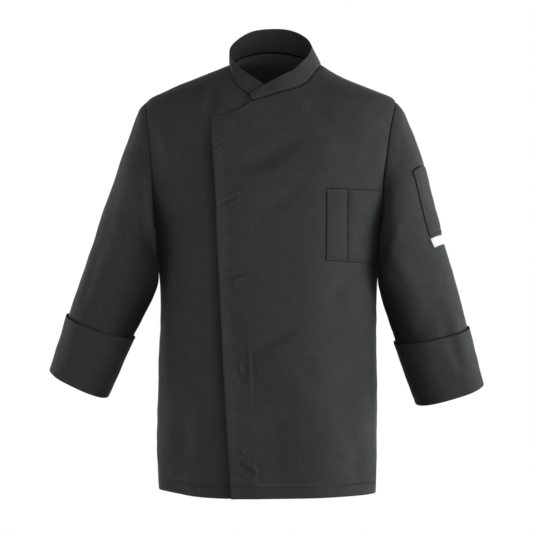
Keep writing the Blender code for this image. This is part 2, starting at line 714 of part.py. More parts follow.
def make_back(name, neck, material):
    turns = neck_turns()[1]
    halves = {}
    for side in (WEARER_LEFT, WEARER_RIGHT):
        step = -side
        stations = slice(0, BACK_NECK_COLUMNS + 1) if side == WEARER_LEFT else slice(BACK_NECK_COLUMNS, None)
        seam_chart = neck_chart(turns[stations][::step], BACK)
        top = np.concatenate([seam_chart[:-1], shoulder_line(side, BACK)])
        outer_edge = side_and_armhole(side, BACK)
        middle = straight((0.0, HEM), seam_chart[0], len(outer_edge) - 1)
        hem = straight(middle[0], outer_edge[0], len(top) - 1)
        chart = patch(hem, top, middle, outer_edge)
        seams = outer_seams(side, BACK, chart)
        through, across = (neck[key][neck["spans"]["back"]][stations][::step] for key in ("through", "across"))
        seams.append(((-1, slice(0, BACK_NECK_COLUMNS + 1)), through, across))
        halves[side] = finish_panel(chart, BACK, seams)
    grids = [
        np.concatenate([left[:, ::-1], right[:, 1:]], axis=1)
        for left, right in zip(halves[WEARER_LEFT], halves[WEARER_RIGHT])
    ]
    return add_wall(name, *grids, material)


def make_collar(name, neck, material):
    """One band from the outer end, round the wearer's left, the back and the right, to the inner end."""
    foot = neck["points"] + neck["across"] * SEAM_GAP / 2
    outer, inner = [], []
    for row in range(COLLAR_ROWS + 1):
        share = row / COLLAR_ROWS
        level = foot + (neck["rim"] - foot) * share
        along = np.gradient(level, axis=0)
        normal = np.cross(along, neck["rim"] - foot)
        normal = unit(normal * np.sign((normal * neck["through"]).sum(-1, keepdims=True)))
        outer.append(level)
        inner.append(level - (neck["through"] if row == 0 else normal) * COLLAR_WALL)
    return add_wall(name, np.array(outer), np.array(inner), material)


# ---- Sleeves and cuffs


def make_sleeve(name, side, material):
    around = np.linspace(0, 2 * math.pi, 2 * ARMHOLE_ROWS, endpoint=False)
    along = sleeve_length(side) * np.linspace(0, 1, SLEEVE_ROWS + 1) ** 1.15
    outer, inner = [], []
    for distance in along:
        points, normal = on_sleeve(side, np.full(around.shape, distance), around)
        outer.append(points)
        inner.append(points - normal * WALL)
    seam, through, across = armhole_frame(side, around)
    outer[0] = seam + across * SEAM_GAP / 2
    inner[0] = outer[0] - through * WALL
    return add_wall(name, np.array(outer), np.array(inner), material, round_columns=True)


def make_cuff(name, side, material):
    """The sleeve's end turned back on itself: a fold under the sleeve's edge and a loose layer outside it."""
    end = sleeve_length(side)
    top, fold = end - CUFF_DEPTH, end + CUFF_FOLD
    share = np.linspace(0, 1, CUFF_ROWS + 1)
    gap = CUFF_GAP_FOLD + (CUFF_GAP_TOP - CUFF_GAP_FOLD) * (1 - share) ** 2
    profile = [(top + (end - top) * s, g + WALL) for s, g in zip(share, gap)]
    profile += [(fold - 0.0008, CUFF_GAP_FOLD + 0.8 * WALL), (fold, 0.0), (fold, -0.6 * WALL)]
    profile += [(fold - 0.0010, -WALL), (end + SEAM_GAP, -WALL), (end + SEAM_GAP, CUFF_GAP_FOLD)]
    profile += [(top + (end - top) * s, g) for s, g in zip(share[:-1][::-1], gap[:-1][::-1])]
    around = np.linspace(0, 2 * math.pi, 2 * ARMHOLE_ROWS, endpoint=False)
    rows = []
    for distance, offset in profile:
        held = np.full(around.shape, min(distance, end))
        points, _ = on_sleeve(side, held, around, offset)
        before, _ = on_sleeve(side, held - 0.01, around, offset)
        rows.append(points + (points - before) / 0.01 * (distance - held)[:, None])
    return add_wall(name, np.array(rows), None, material, round_columns=True, round_rows=True)


# ---- Pockets and label


def make_chest_pocket(name, material):
    top, foot = (chart_at(np.array([x]), np.array([z]), FRONT)[0] for x, z in (POCKET_TOP, POCKET_FOOT))
    z = np.linspace(POCKET_SEAM.first(), POCKET_SEAM.last(), POCKET_ROWS + 1)
    turns = np.radians(POCKET_SEAM.at("degrees", z))
    caught = np.array([(np.interp(turn, *section(height, FRONT)), height) for turn, height in zip(turns, z)])
    free = straight(foot, top, POCKET_ROWS)
    chart = patch(
        straight(foot, caught[0], POCKET_COLUMNS), straight(top, caught[-1], POCKET_COLUMNS), free, caught
    )
    points, normal = on_body(chart, FRONT, outer_front=True)
    inner = points + normal * CHEST_POCKET_GAP
    return add_wall(name, inner + normal * POCKET_WALL, inner, material)


def make_sleeve_patch(name, place, material):
    upper_front, upper_back, lower_back, lower_front = (np.array(corner) for corner in place["corners"])
    upper = straight(upper_front, upper_back, place["columns"])
    lower = straight(lower_front, lower_back, place["columns"])
    outer, inner = [], []
    for row in straight(upper, lower, place["rows"]):
        along, around = row[:, 0], np.radians(row[:, 1])
        inner.append(on_sleeve(WEARER_LEFT, along, around, LAY_GAP)[0])
        outer.append(on_sleeve(WEARER_LEFT, along, around, LAY_GAP + POCKET_WALL)[0])
    return add_wall(name, np.array(outer), np.array(inner), material)


def main():
    for old in list(bpy.data.objects):
        bpy.data.objects.remove(old)
    cloth = new_material("charcoal_twill", (0.030, 0.032, 0.032), 0.80)
    label = new_material("white_label", (0.80, 0.80, 0.78), 0.70)
    neck = neck_seam()
    make_back("back", neck, cloth)
    make_front("right_front", WEARER_RIGHT, neck, cloth)
    make_front("left_front", WEARER_LEFT, neck, cloth)
    make_collar("collar", neck, cloth)
    make_sleeve("right_sleeve", WEARER_RIGHT, cloth)
    make_sleeve("left_sleeve", WEARER_LEFT, cloth)
    make_cuff("right_cuff", WEARER_RIGHT, cloth)
    make_cuff("left_cuff", WEARER_LEFT, cloth)
    make_chest_pocket("chest_pocket", cloth)
    make_sleeve_patch("sleeve_pocket", SLEEVE_POCKET, cloth)
    make_sleeve_patch("label", LABEL, label)


main()
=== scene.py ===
# %% [markdown]
# # A chef jacket with nobody in it
#
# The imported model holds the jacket's solids, which have the right sizes but are coarse and plain. This lesson
# makes each piece again as fine cloth on the same form, with creases, seams, stitches and a twill, because a
# cloth simulation wouldn't keep to the form.

# %% Load the frame
from math import cos, pi, radians, sin, tau

import bmesh
import bpy
import numpy as np
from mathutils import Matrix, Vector


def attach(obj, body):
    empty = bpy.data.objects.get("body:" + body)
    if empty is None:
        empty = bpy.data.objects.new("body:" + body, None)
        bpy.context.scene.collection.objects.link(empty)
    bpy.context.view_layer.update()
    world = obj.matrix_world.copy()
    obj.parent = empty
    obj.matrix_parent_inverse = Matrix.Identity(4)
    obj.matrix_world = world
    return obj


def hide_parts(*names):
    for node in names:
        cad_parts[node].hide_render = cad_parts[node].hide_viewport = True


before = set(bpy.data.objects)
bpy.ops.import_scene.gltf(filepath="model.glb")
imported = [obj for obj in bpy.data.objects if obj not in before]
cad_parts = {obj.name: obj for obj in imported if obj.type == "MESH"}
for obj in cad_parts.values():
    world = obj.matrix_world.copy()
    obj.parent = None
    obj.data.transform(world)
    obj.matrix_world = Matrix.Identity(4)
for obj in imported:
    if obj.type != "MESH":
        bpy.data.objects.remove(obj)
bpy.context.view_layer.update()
WHITE, SURFACE = (1, 1, 1, 1), "Principled BSDF"


def put(name, data):
    made = bpy.data.objects.new(name, data)
    bpy.context.scene.collection.objects.link(made)
    return made


def wire(node, inputs):
    """Sets a node's inputs to values or to the outputs of other nodes."""
    for key, value in dict(inputs).items():
        if isinstance(value, bpy.types.NodeSocket):
            node.id_data.links.new(value, node.inputs[key])
        else:
            node.inputs[key].default_value = value


def add(tree, kind, inputs=(), output=0, **settings):
    """Adds a node, named without its tree's prefix, and hands back one of its outputs."""
    made = tree.nodes.new(kind if "Node" in kind else tree.bl_idname[:-4] + kind)
    for key, value in settings.items():
        setattr(made, key, value)
    wire(made, inputs)
    return made.outputs[output]


def maths(tree, operation, *values):
    return add(tree, "Math", enumerate(values), operation=operation)


def new_material(name):
    material = bpy.data.materials.new(name)
    material.use_nodes = True
    return material, material.node_tree


def rows_of(text, scales):
    """The rows of numbers in a text, each column multiplied by its scale."""
    return [[float(v) * scale for v, scale in zip(line.split(), scales)] for line in text.strip().splitlines()]


# %% [markdown]
# ## Camera
#
# A product shot is taken from a few metres away with a long lens, so that the near cuffs don't look bigger than
# the far shoulder. The camera stands level with the chest.

# %% Camera
CAMERA_AT, AIM_AT = Vector((-.0027, -4.0, -.27)), Vector((-.0027, .0, -.357))
VIEW_WIDTH, SENSOR = .959, 36.0

camera = put("camera", bpy.data.cameras.new("camera"))
camera.location = CAMERA_AT
camera.rotation_euler = (AIM_AT - CAMERA_AT).to_track_quat("-Z", "Y").to_euler()
camera.data.sensor_width = SENSOR
camera.data.lens = SENSOR * (AIM_AT - CAMERA_AT).length / VIEW_WIDTH
bpy.context.scene.camera = camera
print("lens", round(camera.data.lens, 1), "mm")

# %% [markdown]
# ## Floor and light
#
# Dark cloth shows its form only by what it reflects. Soft lights stand round the jacket, as large lit screens
# do in a studio: the strongest far to the wearer's left, weaker ones on the right and in front. Hardly any
# light comes from above, which keeps the shoulders from shining, and the lights beside and behind draw bright
# rims. Lamps would do as well, but a lit sky is smooth. The floor glows where it is seen, but doesn't light the
# cloth.

# %% Floor and light
FLOOR_HEIGHT, FLOOR_RADIUS, FLOOR_SIDES, FLOOR_GLOW = -1.45, 3.3, 96, .55
# Azimuth from the front to the wearer's left and elevation, in degrees; how narrow; how bright.
SOFT_LIGHTS = rows_of("""
0 0 16 1.2
0 45 6 .12
70 -6 24 9.6
50 -6 16 2.8
104 0 40 5.5
-72 -6 24 3.4
-46 -6 16 .6
-100 0 40 4.0
180 0 10 1.2
134 -6 24 4.2
-132 -6 24 4.0
""", [radians(1)] * 2 + [1, 1])

turns = [tau * i / FLOOR_SIDES for i in range(FLOOR_SIDES)]
rim = [(FLOOR_RADIUS * cos(turn), FLOOR_RADIUS * sin(turn), FLOOR_HEIGHT) for turn in turns]
floor_mesh = bpy.data.meshes.new("floor")
floor_mesh.from_pydata(rim, [], [tuple(range(FLOOR_SIDES))])
paint, tree = new_material("pale_floor")
glow = maths(tree, "MULTIPLY", add(tree, "LightPath", output="Is Camera Ray"), FLOOR_GLOW)
pale = {"Base Color": (.93, .93, .93, 1), "Roughness": .9, "Emission Color": WHITE, "Emission Strength": glow}
wire(tree.nodes[SURFACE], pale)
floor_mesh.materials.append(paint)
put("floor", floor_mesh)

world = bpy.data.worlds.new("studio")
world.use_nodes = True
bpy.context.scene.world = world
sky, strength = world.node_tree, .0
direction = add(sky, "TexCoord", output="Generated")
for a, e, narrowness, brightness in SOFT_LIGHTS:
    way = (sin(a) * cos(e), -cos(a) * cos(e), sin(e))
    toward = add(sky, "VectorMath", {0: direction, 1: way}, "Value", operation="DOT_PRODUCT")
    facing = maths(sky, "POWER", maths(sky, "MAXIMUM", toward, .0), narrowness)
    strength = maths(sky, "MULTIPLY_ADD", facing, brightness, strength)
wire(sky.nodes["Background"], {"Color": WHITE, "Strength": strength})
seen = add(sky, "Background", {"Color": WHITE, "Strength": 1.0})
ray = add(sky, "LightPath", output="Is Camera Ray")
chosen = add(sky, "MixShader", {0: ray, 1: sky.nodes["Background"].outputs[0], 2: seen})
wire(sky.nodes["World Output"], {"Surface": chosen})
bpy.context.scene.view_settings.view_transform = "Standard"
print(len(SOFT_LIGHTS), "soft lights")

# %% [markdown]
# ## Named sizes
#
# The cloth lies on the solids' form, so it is worked out from the same sizes. A table has a row for each level
# of the body or ring of a sleeve, in millimetres, and is read smoothly.

# %% Tables and curves
MM, PLAIN = .001, {"degrees", "power", "across"}
WALL, COLLAR_WALL, POCKET_WALL, SEAM_GAP = .0013, .0018, .0009, .0003
HEM, UNDERARM, SHOULDER, NECK_END = -.7588, -.29, -.062, .0054
FRONT, BACK = 1, -1
LEFT, RIGHT = 1, -1
SIDES = {LEFT: "left", RIGHT: "right"}


class Table:
    """Rows of named sizes, read smoothly between them and held level past the ends."""

    def __init__(self, columns, text):
        self.names = columns.split()
        self.rows = np.array(sorted(rows_of(text, [1 if name in PLAIN else MM for name in self.names])))
        self.first, self.last = self.rows[[0, -1], 0]

    def at(self, column, key):
        keys, values = self.rows[:, 0], self.rows[:, self.names.index(column)]
        slopes = np.gradient(values, keys)
        key = np.clip(key, keys[0], keys[-1])
        i = np.clip(np.searchsorted(keys, key, side="right") - 1, 0, len(keys) - 2)
        step = keys[i + 1] - keys[i]
        t = (key - keys[i]) / step
        bend = step * t * (1 - t) * ((1 - t) * slopes[i] - t * slopes[i + 1])
        return values[i] + t * t * (3 - 2 * t) * (values[i + 1] - values[i]) + bend

    def all_at(self, key):
        return [self.at(name, key) for name in self.names[1:]]


print("tables are in millimetres, walls", WALL, COLLAR_WALL, POCKET_WALL, "m thick")

# %% Curves and distances


def ramp(low, high, value):
    """A smooth step from 0 at low to 1 at high, which may be the lesser one."""
    t = np.clip((value - low) / (high - low), .0, 1.0)
    return t * t * (3 - 2 * t)


def bell(away, width):
    return np.exp(-((away / width) ** 2))


def trough(away, width, lip):
    """A crease across: a trough with a low ridge beside it."""
    return bell(away, width) - lip * bell(away - 1.8 * width, width)


def vec(*parts):
    """Points from their coordinates."""
    return np.stack(np.broadcast_arrays(*parts), axis=-1)


def unit(vectors):
    return vectors / np.maximum(np.linalg.norm(vectors, axis=-1, keepdims=True), 1e-12)


def signed_power(value, power):
    return np.sign(value) * np.abs(value) ** power


def lengths(points, axis):
    """How far along its row or column each point of a grid lies."""
    steps = np.linalg.norm(np.diff(points, axis=axis), axis=-1)
    return np.insert(np.cumsum(steps, axis=axis), 0, .0, axis=axis)


def from_segment(points, start, end):
    """How far points lie from a straight segment, and at which share of it."""
    run = np.subtract(end, start)
    share = np.clip(((points - start) @ run) / max(run @ run, 1e-18), .0, 1.0)
    return np.linalg.norm(points - start - share[..., None] * run, axis=-1), share


def gap_to(points, line):
    """How far points lie from a line of points."""
    return np.min([from_segment(points, *ends)[0] for ends in zip(line[:-1], line[1:])], axis=0)


# %% [markdown]
# ## Body, neck and lap
#
# Each level of the body is a rounded rectangle: half_width across, front and back from the side seam's line,
# centre for where its middle stands, power for how square its corners are. Neck and collar are given by turns
# round the neck: 0 is the middle front, 90 the wearer's left shoulder. They don't meet in front, where the
# outer front laps over the inner one to a curved corner.

# %% Body, neck and lap
BODY = Table("z half_width front back centre power", """
40 68 42 51.5 3 2
31.5 71.5 43 55 4.5 2
20 76 44 60 8.5 2
5.4 82.1 46 69 13.3 2
0 91.8 52 74 10.8 2
-10.8 113.9 61 81 6 2
-21.6 138.5 68.5 88 3.5 2.05
-32.4 165.5 74.5 94 3.5 2.05
-43.2 190.5 80 99 5.5 2.1
-54 215.5 84.5 104 6.6 2.1
-62 224 88 107 5.5 2.15
-80 236 94.5 114 4 2.2
-120 244 107 124 2 2.25
-160 243 118 130 1 2.3
-200 235 126.5 132.5 0 2.3
-240 220.5 132.5 133 0 2.35
-270 206.5 135.5 132 0 2.4
-290 201 136.5 131 0.3 2.4
-320 200.4 137.2 129.2 0.5 2.4
-350 198.6 137.5 127 0.7 2.4
-380 195.6 137.5 125 1 2.4
-410 194 137 123.5 1 2.4
-470 194.3 135.5 121.5 0.6 2.4
-550 195.8 134 121 -0.6 2.4
-650 197 134.5 125 -1.2 2.35
-770 194 137 129 -1.2 2.35
""")
# How far out the armhole seam runs.
ARMHOLE = Table("z front back", """
-62 224 224
-75 221.2 221.2
-89 218.5 218
-107 215.5 214.5
-126 213 211.5
-146 210.5 208.5
-185 205.5 204
-220 203 202.5
-255 201.6 201.5
-275 201.2 201.2
-290 201 201
""")
# How high the hem hangs, from the wearer's right side, -1, to the left.
HEM_LINE = Table("across rise", """
-1 7.5
-0.7 2
-0.4 -0.2
0 0
0.7 0.3
1 -1
""")
NECK = Table("degrees x z", """
-22 -26.1 -64
-4 -5.3 -57.3
15 22.8 -48.6
39 51.4 -39.3
62 72.7 -24.7
75 82.5 -11
90 95.4 5.4
270 -68.8 5.4
288 -66.5 -12
300 -61.5 -26.5
315 -50.5 -40
333 -32 -51.5
352 -6 -59.5
382 26.1 -66
""")
BACK_NECK = Table("degrees z", """
90 5.4
110 11.5
135 21.5
160 29.3
180 31.5
200 29
225 21.5
250 11.5
270 5.4
""")
# The collar's free edge lies on an oval.
RIM_CENTRE, RIM_HALF_WIDTH = .0048, .0742
RIM = Table("degrees y z", """
-30 -87.2 -51.5
-8 -82.2 -34.9
16 -78 -17.8
32 -69.2 -8.7
47 -55 5.5
64 -35 19.2
77 -17.8 30
90 0 36.2
121 25 56
157 44.2 71.4
180 48 72.8
204 44 69
240 24 48.4
270 0 29
301 -40.7 6
320 -60.5 -9.8
337 -72.2 -23.4
352 -78.4 -34.9
370 -81.2 -48
""")
# The lap's free and upper edges, as distance past the middle.
LAP_EDGE = Table("z x", """
-93 98.5
-119 98.5
-169 94.3
-239 89.2
-308 86.8
-413 81.8
-500 78.4
-587 73.1
-674 67.9
-760 62.7
""")
LAP_TOP = Table("x z", """
26.1 -64
34.5 -68
41 -74.5
54.3 -81.1
65.6 -85.3
76.7 -89.7
88 -91.2
98.5 -93
""")
UNDERLAP_EDGE, UNDERLAP_NECK = (.075, -.096), (.0261, -.066)
# How far across the outer front stands clear of the inner one.
LAP_STAND_OFF = .0031
LAP_RISE = Table("z full none", """
-100 80 150
-60 34 85
-20 20 60
""")

print(len(BODY.rows), "levels of the body, lap from", LAP_EDGE.first, "to", LAP_EDGE.last)

# %% [markdown]
# ## Sleeves
#
# A sleeve is a pile of slanted rings. outer and inner are its points furthest from the body and nearest to it, front
# and back its half depths, lean how far behind the shoulder it stands, droop how much lower its front hangs, and turn
# how far forward its inner side is swung.

# %% Sleeves
SLEEVE_COLUMNS = "along outer_x outer_z inner_x inner_z front back lean droop turn power"
SLEEVES = {
    LEFT: Table(SLEEVE_COLUMNS, """
0 229.5 -62 201 -290 73 71 0 0 0 2.4
10 241.5 -75 201.8 -293 73.5 72 -1 0 3 2.4
23 250.5 -94 202 -297.5 73 72.5 -4 0 10 2.35
43 262 -123 200.7 -306 70.5 72 -12 0 22 2.3
70 275.2 -159 199 -322 68 70 -18 0 30 2.25
110 289.5 -213 196 -348 66 68 -25 0 32 2.2
161 306.5 -278 195.2 -382 64.5 67 -26 1 28 2.2
224 332.5 -370 203 -413 64.5 66.5 -20 3 18 2.2
306 356 -459 227 -485 63 65 -12 5 8 2.2
427 385.3 -566 266.5 -601.2 58.5 61 0 6 0 2.2
"""),
    RIGHT: Table(SLEEVE_COLUMNS, """
0 218.5 -62 200.4 -290 73 71 0 0 0 2.4
8 229 -72 201 -293 73.5 72 -1 0 3 2.4
19 236.8 -88 201 -297.5 73 72.5 -4 0 10 2.35
39 248 -118 200.1 -306 70.5 72 -12 0 22 2.3
69 262.5 -159 198.2 -322 68 70 -18 0 30 2.25
110 280.5 -213 195.5 -348 66 68 -25 0 32 2.2
159 302.5 -278 194.2 -380 64.5 67 -26 1 28 2.2
222 332 -365 205.8 -412 64 66 -20 3 18 2.2
300 357.5 -443 240.5 -482 62 64.5 -12 5 8 2.2
415 390.8 -540.5 288 -587.6 56 58.5 0 6 0 2.2
"""),
}
# The stretch in which a sleeve eases into its own rings, and its press on the body.
HEAD_FADE, UNDERARM_PRESS = .08, .0026
print("sleeves", SLEEVES[LEFT].last, "and", SLEEVES[RIGHT].last, "m long")

# %% [markdown]
# ## Folds and creases
#
# Worn cloth is never smooth. The widest folds are sunk into the form, and finer creases lie on top. Noise would
# make creases anywhere, so they are placed one by one, where a jacket is pulled: below the underarm, at the bend
# of the elbow, beside a fastened stud.

# %% Folds and creases
# A reach turns an angle round a form into a distance.
TORSO_REACH, SLEEVE_REACH = .17, .065


def placed(reach, places, text):
    """Rows of places in degrees and heights, then two sizes and a plain number."""
    return rows_of(text, [radians(reach), MM] * places + [MM, MM, 1])


# From one angle (0 front, 90 the wearer's left) and height to another; half width; lift.
TORSO_FOLDS = placed(TORSO_REACH, 2, """
52 -740 30 -400 30 -3.5
8 -745 -14 -470 28 -4
78 -760 66 -420 22 3
-72 -760 -78 -600 28 4
-50 -765 -46 -380 30 -3
112 -330 140 -620 26 -4
-112 -330 -142 -600 26 -4
160 -760 165 -440 34 -4
-158 -760 -166 -420 34 -4
""")
# The same round a sleeve (0 its outer side, 90 the front) and along it.
SLEEVE_FOLDS = placed(SLEEVE_REACH, 2, """
95 120 70 330 18 -3
150 240 120 340 14 -3
55 280 60 440 16 2
-70 150 -110 320 18 -3.5
-130 240 -100 380 14 -3
""")
# A crease fades towards its ends: three places, half width, depth (a minus sign makes a ridge) and 1 if it
# starts in a seam. Those in front are given across and up.
FRONT_CREASES = rows_of("""
-56.5 -179 2 -160 68 -122 15 3.6 0
-30 -256 15 -242 64 -218 16 2.1 0
-30 -498 12 -478 62 -464 14 3.6 0
20 -558 65 -576 118 -596 15 -3.3 0
0 -635 35 -618 80 -625 13 2.1 0
146.2 -485.8 153.2 -524.9 149.7 -567.7 13 2.2 0
164 -650 162 -705 164 -759.3 12 1.8 0
115 -690 150 -710 182 -728 15 2 1
62 -62 90 -85 125 -115 13 2.7 0
193 -115 180 -150 175 -195 12 1.3 0
150 -350 130 -390 95 -415 13 2.4 0
-92 -27 -99 -62 -101 -95 9 3.9 0
-201 -95 -172 -156 -160 -225 14 -5.1 0
-195 -320 -178 -420 -176 -540 11 -2.4 0
-155 -560 -150 -640 -156 -740 14 2.4 0
""", [MM] * 8 + [1])
TORSO_CREASES = placed(TORSO_REACH, 3, """
100 -300 118 -365 136 -400 13 5.1 0
-100 -300 -116 -375 -132 -420 13 5.1 0
108 -190 128 -230 150 -245 14 4.2 0
-112 -200 -132 -235 -152 -255 14 3.9 0
176 -330 183 -470 178 -640 16 4.5 0
140 -430 146 -560 142 -700 14 4.2 0
-138 -450 -146 -580 -140 -720 14 4.5 0
-98 -420 -108 -540 -104 -700 14 3.9 0
100 -480 108 -600 102 -730 14 3.9 0
""")
SLEEVE_CREASES = {
    LEFT: placed(SLEEVE_REACH, 3, """
172 20 120 110 84 190 10 3.1 1
178 40 132 150 104 240 9 2.8 0
60 250 66 330 58 420 10 2.5 0
140 290 110 300 86 270 10 2.5 0
-172 30 -120 100 -80 170 11 3.6 1
-150 180 -110 210 -70 190 10 3.1 0
-140 270 -100 290 -60 270 11 3.4 0
"""),
    RIGHT: placed(SLEEVE_REACH, 3, """
176 20 124 100 80 200 10 3.4 1
170 60 126 170 96 270 10 2.8 0
150 250 112 280 80 260 10 2.5 0
50 120 46 230 54 330 12 2 0
-170 30 -116 110 -84 190 11 3.6 1
-156 200 -112 220 -72 200 10 3.1 0
-144 280 -104 310 -66 290 11 3.1 0
"""),
}
print(len(TORSO_FOLDS + SLEEVE_FOLDS), "soft folds,", len(TORSO_CREASES + FRONT_CREASES), "creases on the body")

# %% How far folds and creases lift the cloth
CURVE_STEPS = 10


def soft_folds(folds, across, along):
    here = vec(across, along)
    return sum(depth * bell(from_segment(here, (a, b), (c, d))[0], width) for a, b, c, d, width, depth in folds)


def crease_lift(table, across, along, full_turn=None):
    """How far the creases lift the cloth. full_turn is the way round a tube."""
    across, along = np.broadcast_arrays(across, along)
    height = np.zeros(across.shape)
    for *places, width, depth, in_seam in table:
        start, through, end = np.reshape(places, (3, 2))
        turned = across
        if full_turn:
            turned = (across - through[0] + full_turn / 2) % full_turn - full_turn / 2 + through[0]
        here = vec(turned, along)
        t = np.linspace(0, 1, CURVE_STEPS + 1)[:, None]
        curve = (1 - t) ** 2 * start + 2 * t * (1 - t) * (2 * through - (start + end) / 2) + t**2 * end
        away, share = np.inf, .0
        for k in range(CURVE_STEPS):
            gap, s = from_segment(here, curve[k], curve[k + 1])
            share, away = np.where(gap < away, (k + s) / CURVE_STEPS, share), np.minimum(gap, away)
        strength = ramp(0, .4, 1 - share) * (1.0 if in_seam else ramp(0, .4, share))
        height -= depth * strength * trough(away, width, .3)
    return height


def ripple(point):
    """The small unevenness of washed cloth, from fixed sine waves."""
    waves = np.random.default_rng(7)
    height = np.zeros(point.shape[:-1])
    for size, low, high in ((.0003, .07, .16), (.00012, .025, .05)):
        for _ in range(7):
            way = unit(waves.normal(size=3))
            height += size * np.sin(tau * (point @ way) / waves.uniform(low, high) + waves.uniform(0, 6.3))
    return height


print("a crease is", CURVE_STEPS, "straight steps")

# %% [markdown]
# ## A chart of the body
#
# Panels are laid out on a chart: how far round the body from its middle, and how high. The way back to a point needs
# the length of every level, so these are measured once.

# %% The body's surface
TURNS = pi / 2 * (1 - np.cos(np.linspace(0, pi, 129))) / 2
LEVEL_STEP = .002
LEVELS = np.arange(HEM - .022, .046, LEVEL_STEP)


def body_point(angle, z):
    """A point of the smooth body: angle 0 is the middle front, a quarter turn the wearer's left side."""
    half_width, front, back, centre, power = BODY.all_at(z)
    across, forward = (signed_power(f(angle), 2 / power) for f in (np.sin, np.cos))
    return vec(centre + half_width * across, -np.where(forward >= 0, front, back) * forward, z)


def body_level(point):
    """1 on the body's surface, less inside it and more outside."""
    x, y, z = np.moveaxis(point, -1, 0)
    half_width, front, back, centre, power = BODY.all_at(z)
    return (np.abs(x - centre) / half_width) ** power + (np.abs(y) / np.where(y <= 0, front, back)) ** power


def body_normal(point):
    return unit(vec(*(body_level(point + s) - body_level(point - s) for s in .0005 * np.eye(3))))


ARCS = {}
for face in (FRONT, BACK):
    level, turn = np.meshgrid(LEVELS, TURNS, indexing="ij")
    ARCS[face] = lengths(body_point(turn if face == FRONT else pi - turn, level), 1)

print("chart:", len(LEVELS), "levels of", len(TURNS), "turns")

# %% From the chart to the body and back


def arcs_at(z, face):
    """How far round its level each of TURNS lies."""
    place = np.clip((z - LEVELS[0]) / LEVEL_STEP, 0, len(LEVELS) - 1.001)
    low = place.astype(int)
    share = (place - low)[..., None]
    return ARCS[face][low] * (1 - share) + ARCS[face][low + 1] * share


def step_at(rows, i):
    """Entries i and i + 1 of each row."""
    return (np.take_along_axis(rows, (i + k)[..., None], -1)[..., 0] for k in (0, 1))


def arc_at(turn, z, face):
    """How far round its level a turn lies."""
    i = np.clip(np.searchsorted(TURNS, turn, side="right") - 1, 0, len(TURNS) - 2)
    low, high = step_at(arcs_at(z, face), i)
    return low + (turn - TURNS[i]) / (TURNS[i + 1] - TURNS[i]) * (high - low)


def chart_at(x, z, face):
    """The chart place of the body's surface x across and z up."""
    across = (x - BODY.at("centre", z)) / BODY.at("half_width", z)
    turn = np.arcsin(np.clip(np.abs(across), .0, 1.0) ** (BODY.at("power", z) / 2))
    return vec(np.sign(across) * arc_at(turn, z, face), z)


def side_chart(side, face, z):
    """Chart places on the body's side line, where the side and shoulder seams are."""
    return vec(side * arcs_at(z, face)[..., -1], z)


def angle_of(chart, face):
    rows, away = arcs_at(chart[..., 1], face), np.abs(chart[..., 0])
    i = np.clip((rows < away[..., None]).sum(-1) - 1, 0, len(TURNS) - 2)
    low, high = step_at(rows, i)
    share = np.clip((away - low) / np.maximum(high - low, 1e-9), .0, 1.0)
    turn = TURNS[i] + share * (TURNS[i + 1] - TURNS[i])
    return np.where(chart[..., 0] < 0, -1.0, 1.0) * (turn if face == FRONT else pi - turn)


def on_body(chart, face, on_top=False):
    """Points and normals of the draped cloth. on_top is for the front that laps over."""
    angle, z = angle_of(chart, face), chart[..., 1]
    point = body_point(angle, z)
    normal, x = body_normal(point), point[..., 0]
    calm = 1 - .85 * ramp(.8, .98, np.abs(np.sin(angle))) * ramp(-.47, -.4, z)
    fine = crease_lift(TORSO_CREASES, angle * TORSO_REACH, z, tau * TORSO_REACH) + ripple(point)
    if face == FRONT:
        fine = fine + crease_lift(FRONT_CREASES, x, z)
    lift = soft_folds(TORSO_FOLDS, angle * TORSO_REACH, z) + calm * fine
    if on_top:
        lift = lift + LAP_STAND_OFF * ramp(LAP_RISE.at("none", z), LAP_RISE.at("full", z), x)
    return point + normal * lift[..., None], normal


def hang(chart, face):
    """Gives the hem its uneven line."""
    near_hem = ramp(.25, .0, chart[..., 1] - HEM)
    rise = HEM_LINE.at("rise", np.sin(angle_of(chart, face))) * near_hem
    return vec(chart[..., 0], chart[..., 1] + rise)


print("hem's ends hang", HEM_LINE.at("rise", np.array([-1, 1])))

# %% [markdown]
# ## The sleeve's surface
#
# A place on a sleeve is a distance along it and an angle round it. It starts exactly on the armhole seam and eases
# into its own rings. Below the underarm it presses on the body.

# %% The sleeve's surface


def armhole_chart(side, around, face):
    """The armhole seam. around is 0 at the shoulder and a half turn at the underarm."""
    z = (SHOULDER + UNDERARM) / 2 + (SHOULDER - UNDERARM) / 2 * np.cos(around)
    x = BODY.at("centre", z) + side * ARMHOLE.at("front" if face == FRONT else "back", z)
    at_end = np.isclose(np.abs(np.cos(around)), 1.0)
    return np.where(at_end[..., None], side_chart(side, face, z), chart_at(x, z, face))


def armhole_points(side, around):
    turned = (around + 1e-9) % tau - 1e-9
    front, back = (on_body(armhole_chart(side, turned, face), face)[0] for face in (FRONT, BACK))
    return np.where((turned <= pi + 1e-6)[..., None], front, back)


def sleeve_ring(side, along, around):
    outer_x, outer_z, inner_x, inner_z, front, back, lean, droop, turn, power = SLEEVES[side].all_at(along)
    outward, forward = (signed_power(f(around), 2 / power) for f in (np.cos, np.sin))
    x = (outer_x + inner_x) / 2 + (outer_x - inner_x) / 2 * outward
    z = (outer_z + inner_z) / 2 + (outer_z - inner_z) / 2 * outward
    y = lean - np.where(forward >= 0, front, back) * forward + turn * outward
    return vec(side * x, y, z - droop * forward)


def sleeve_smooth(side, along, around):
    """The sleeve without its folds."""
    off_seam = armhole_points(side, around) - sleeve_ring(side, .0, around)
    return sleeve_ring(side, along, around) + off_seam * ramp(HEAD_FADE, .0, along)[..., None]


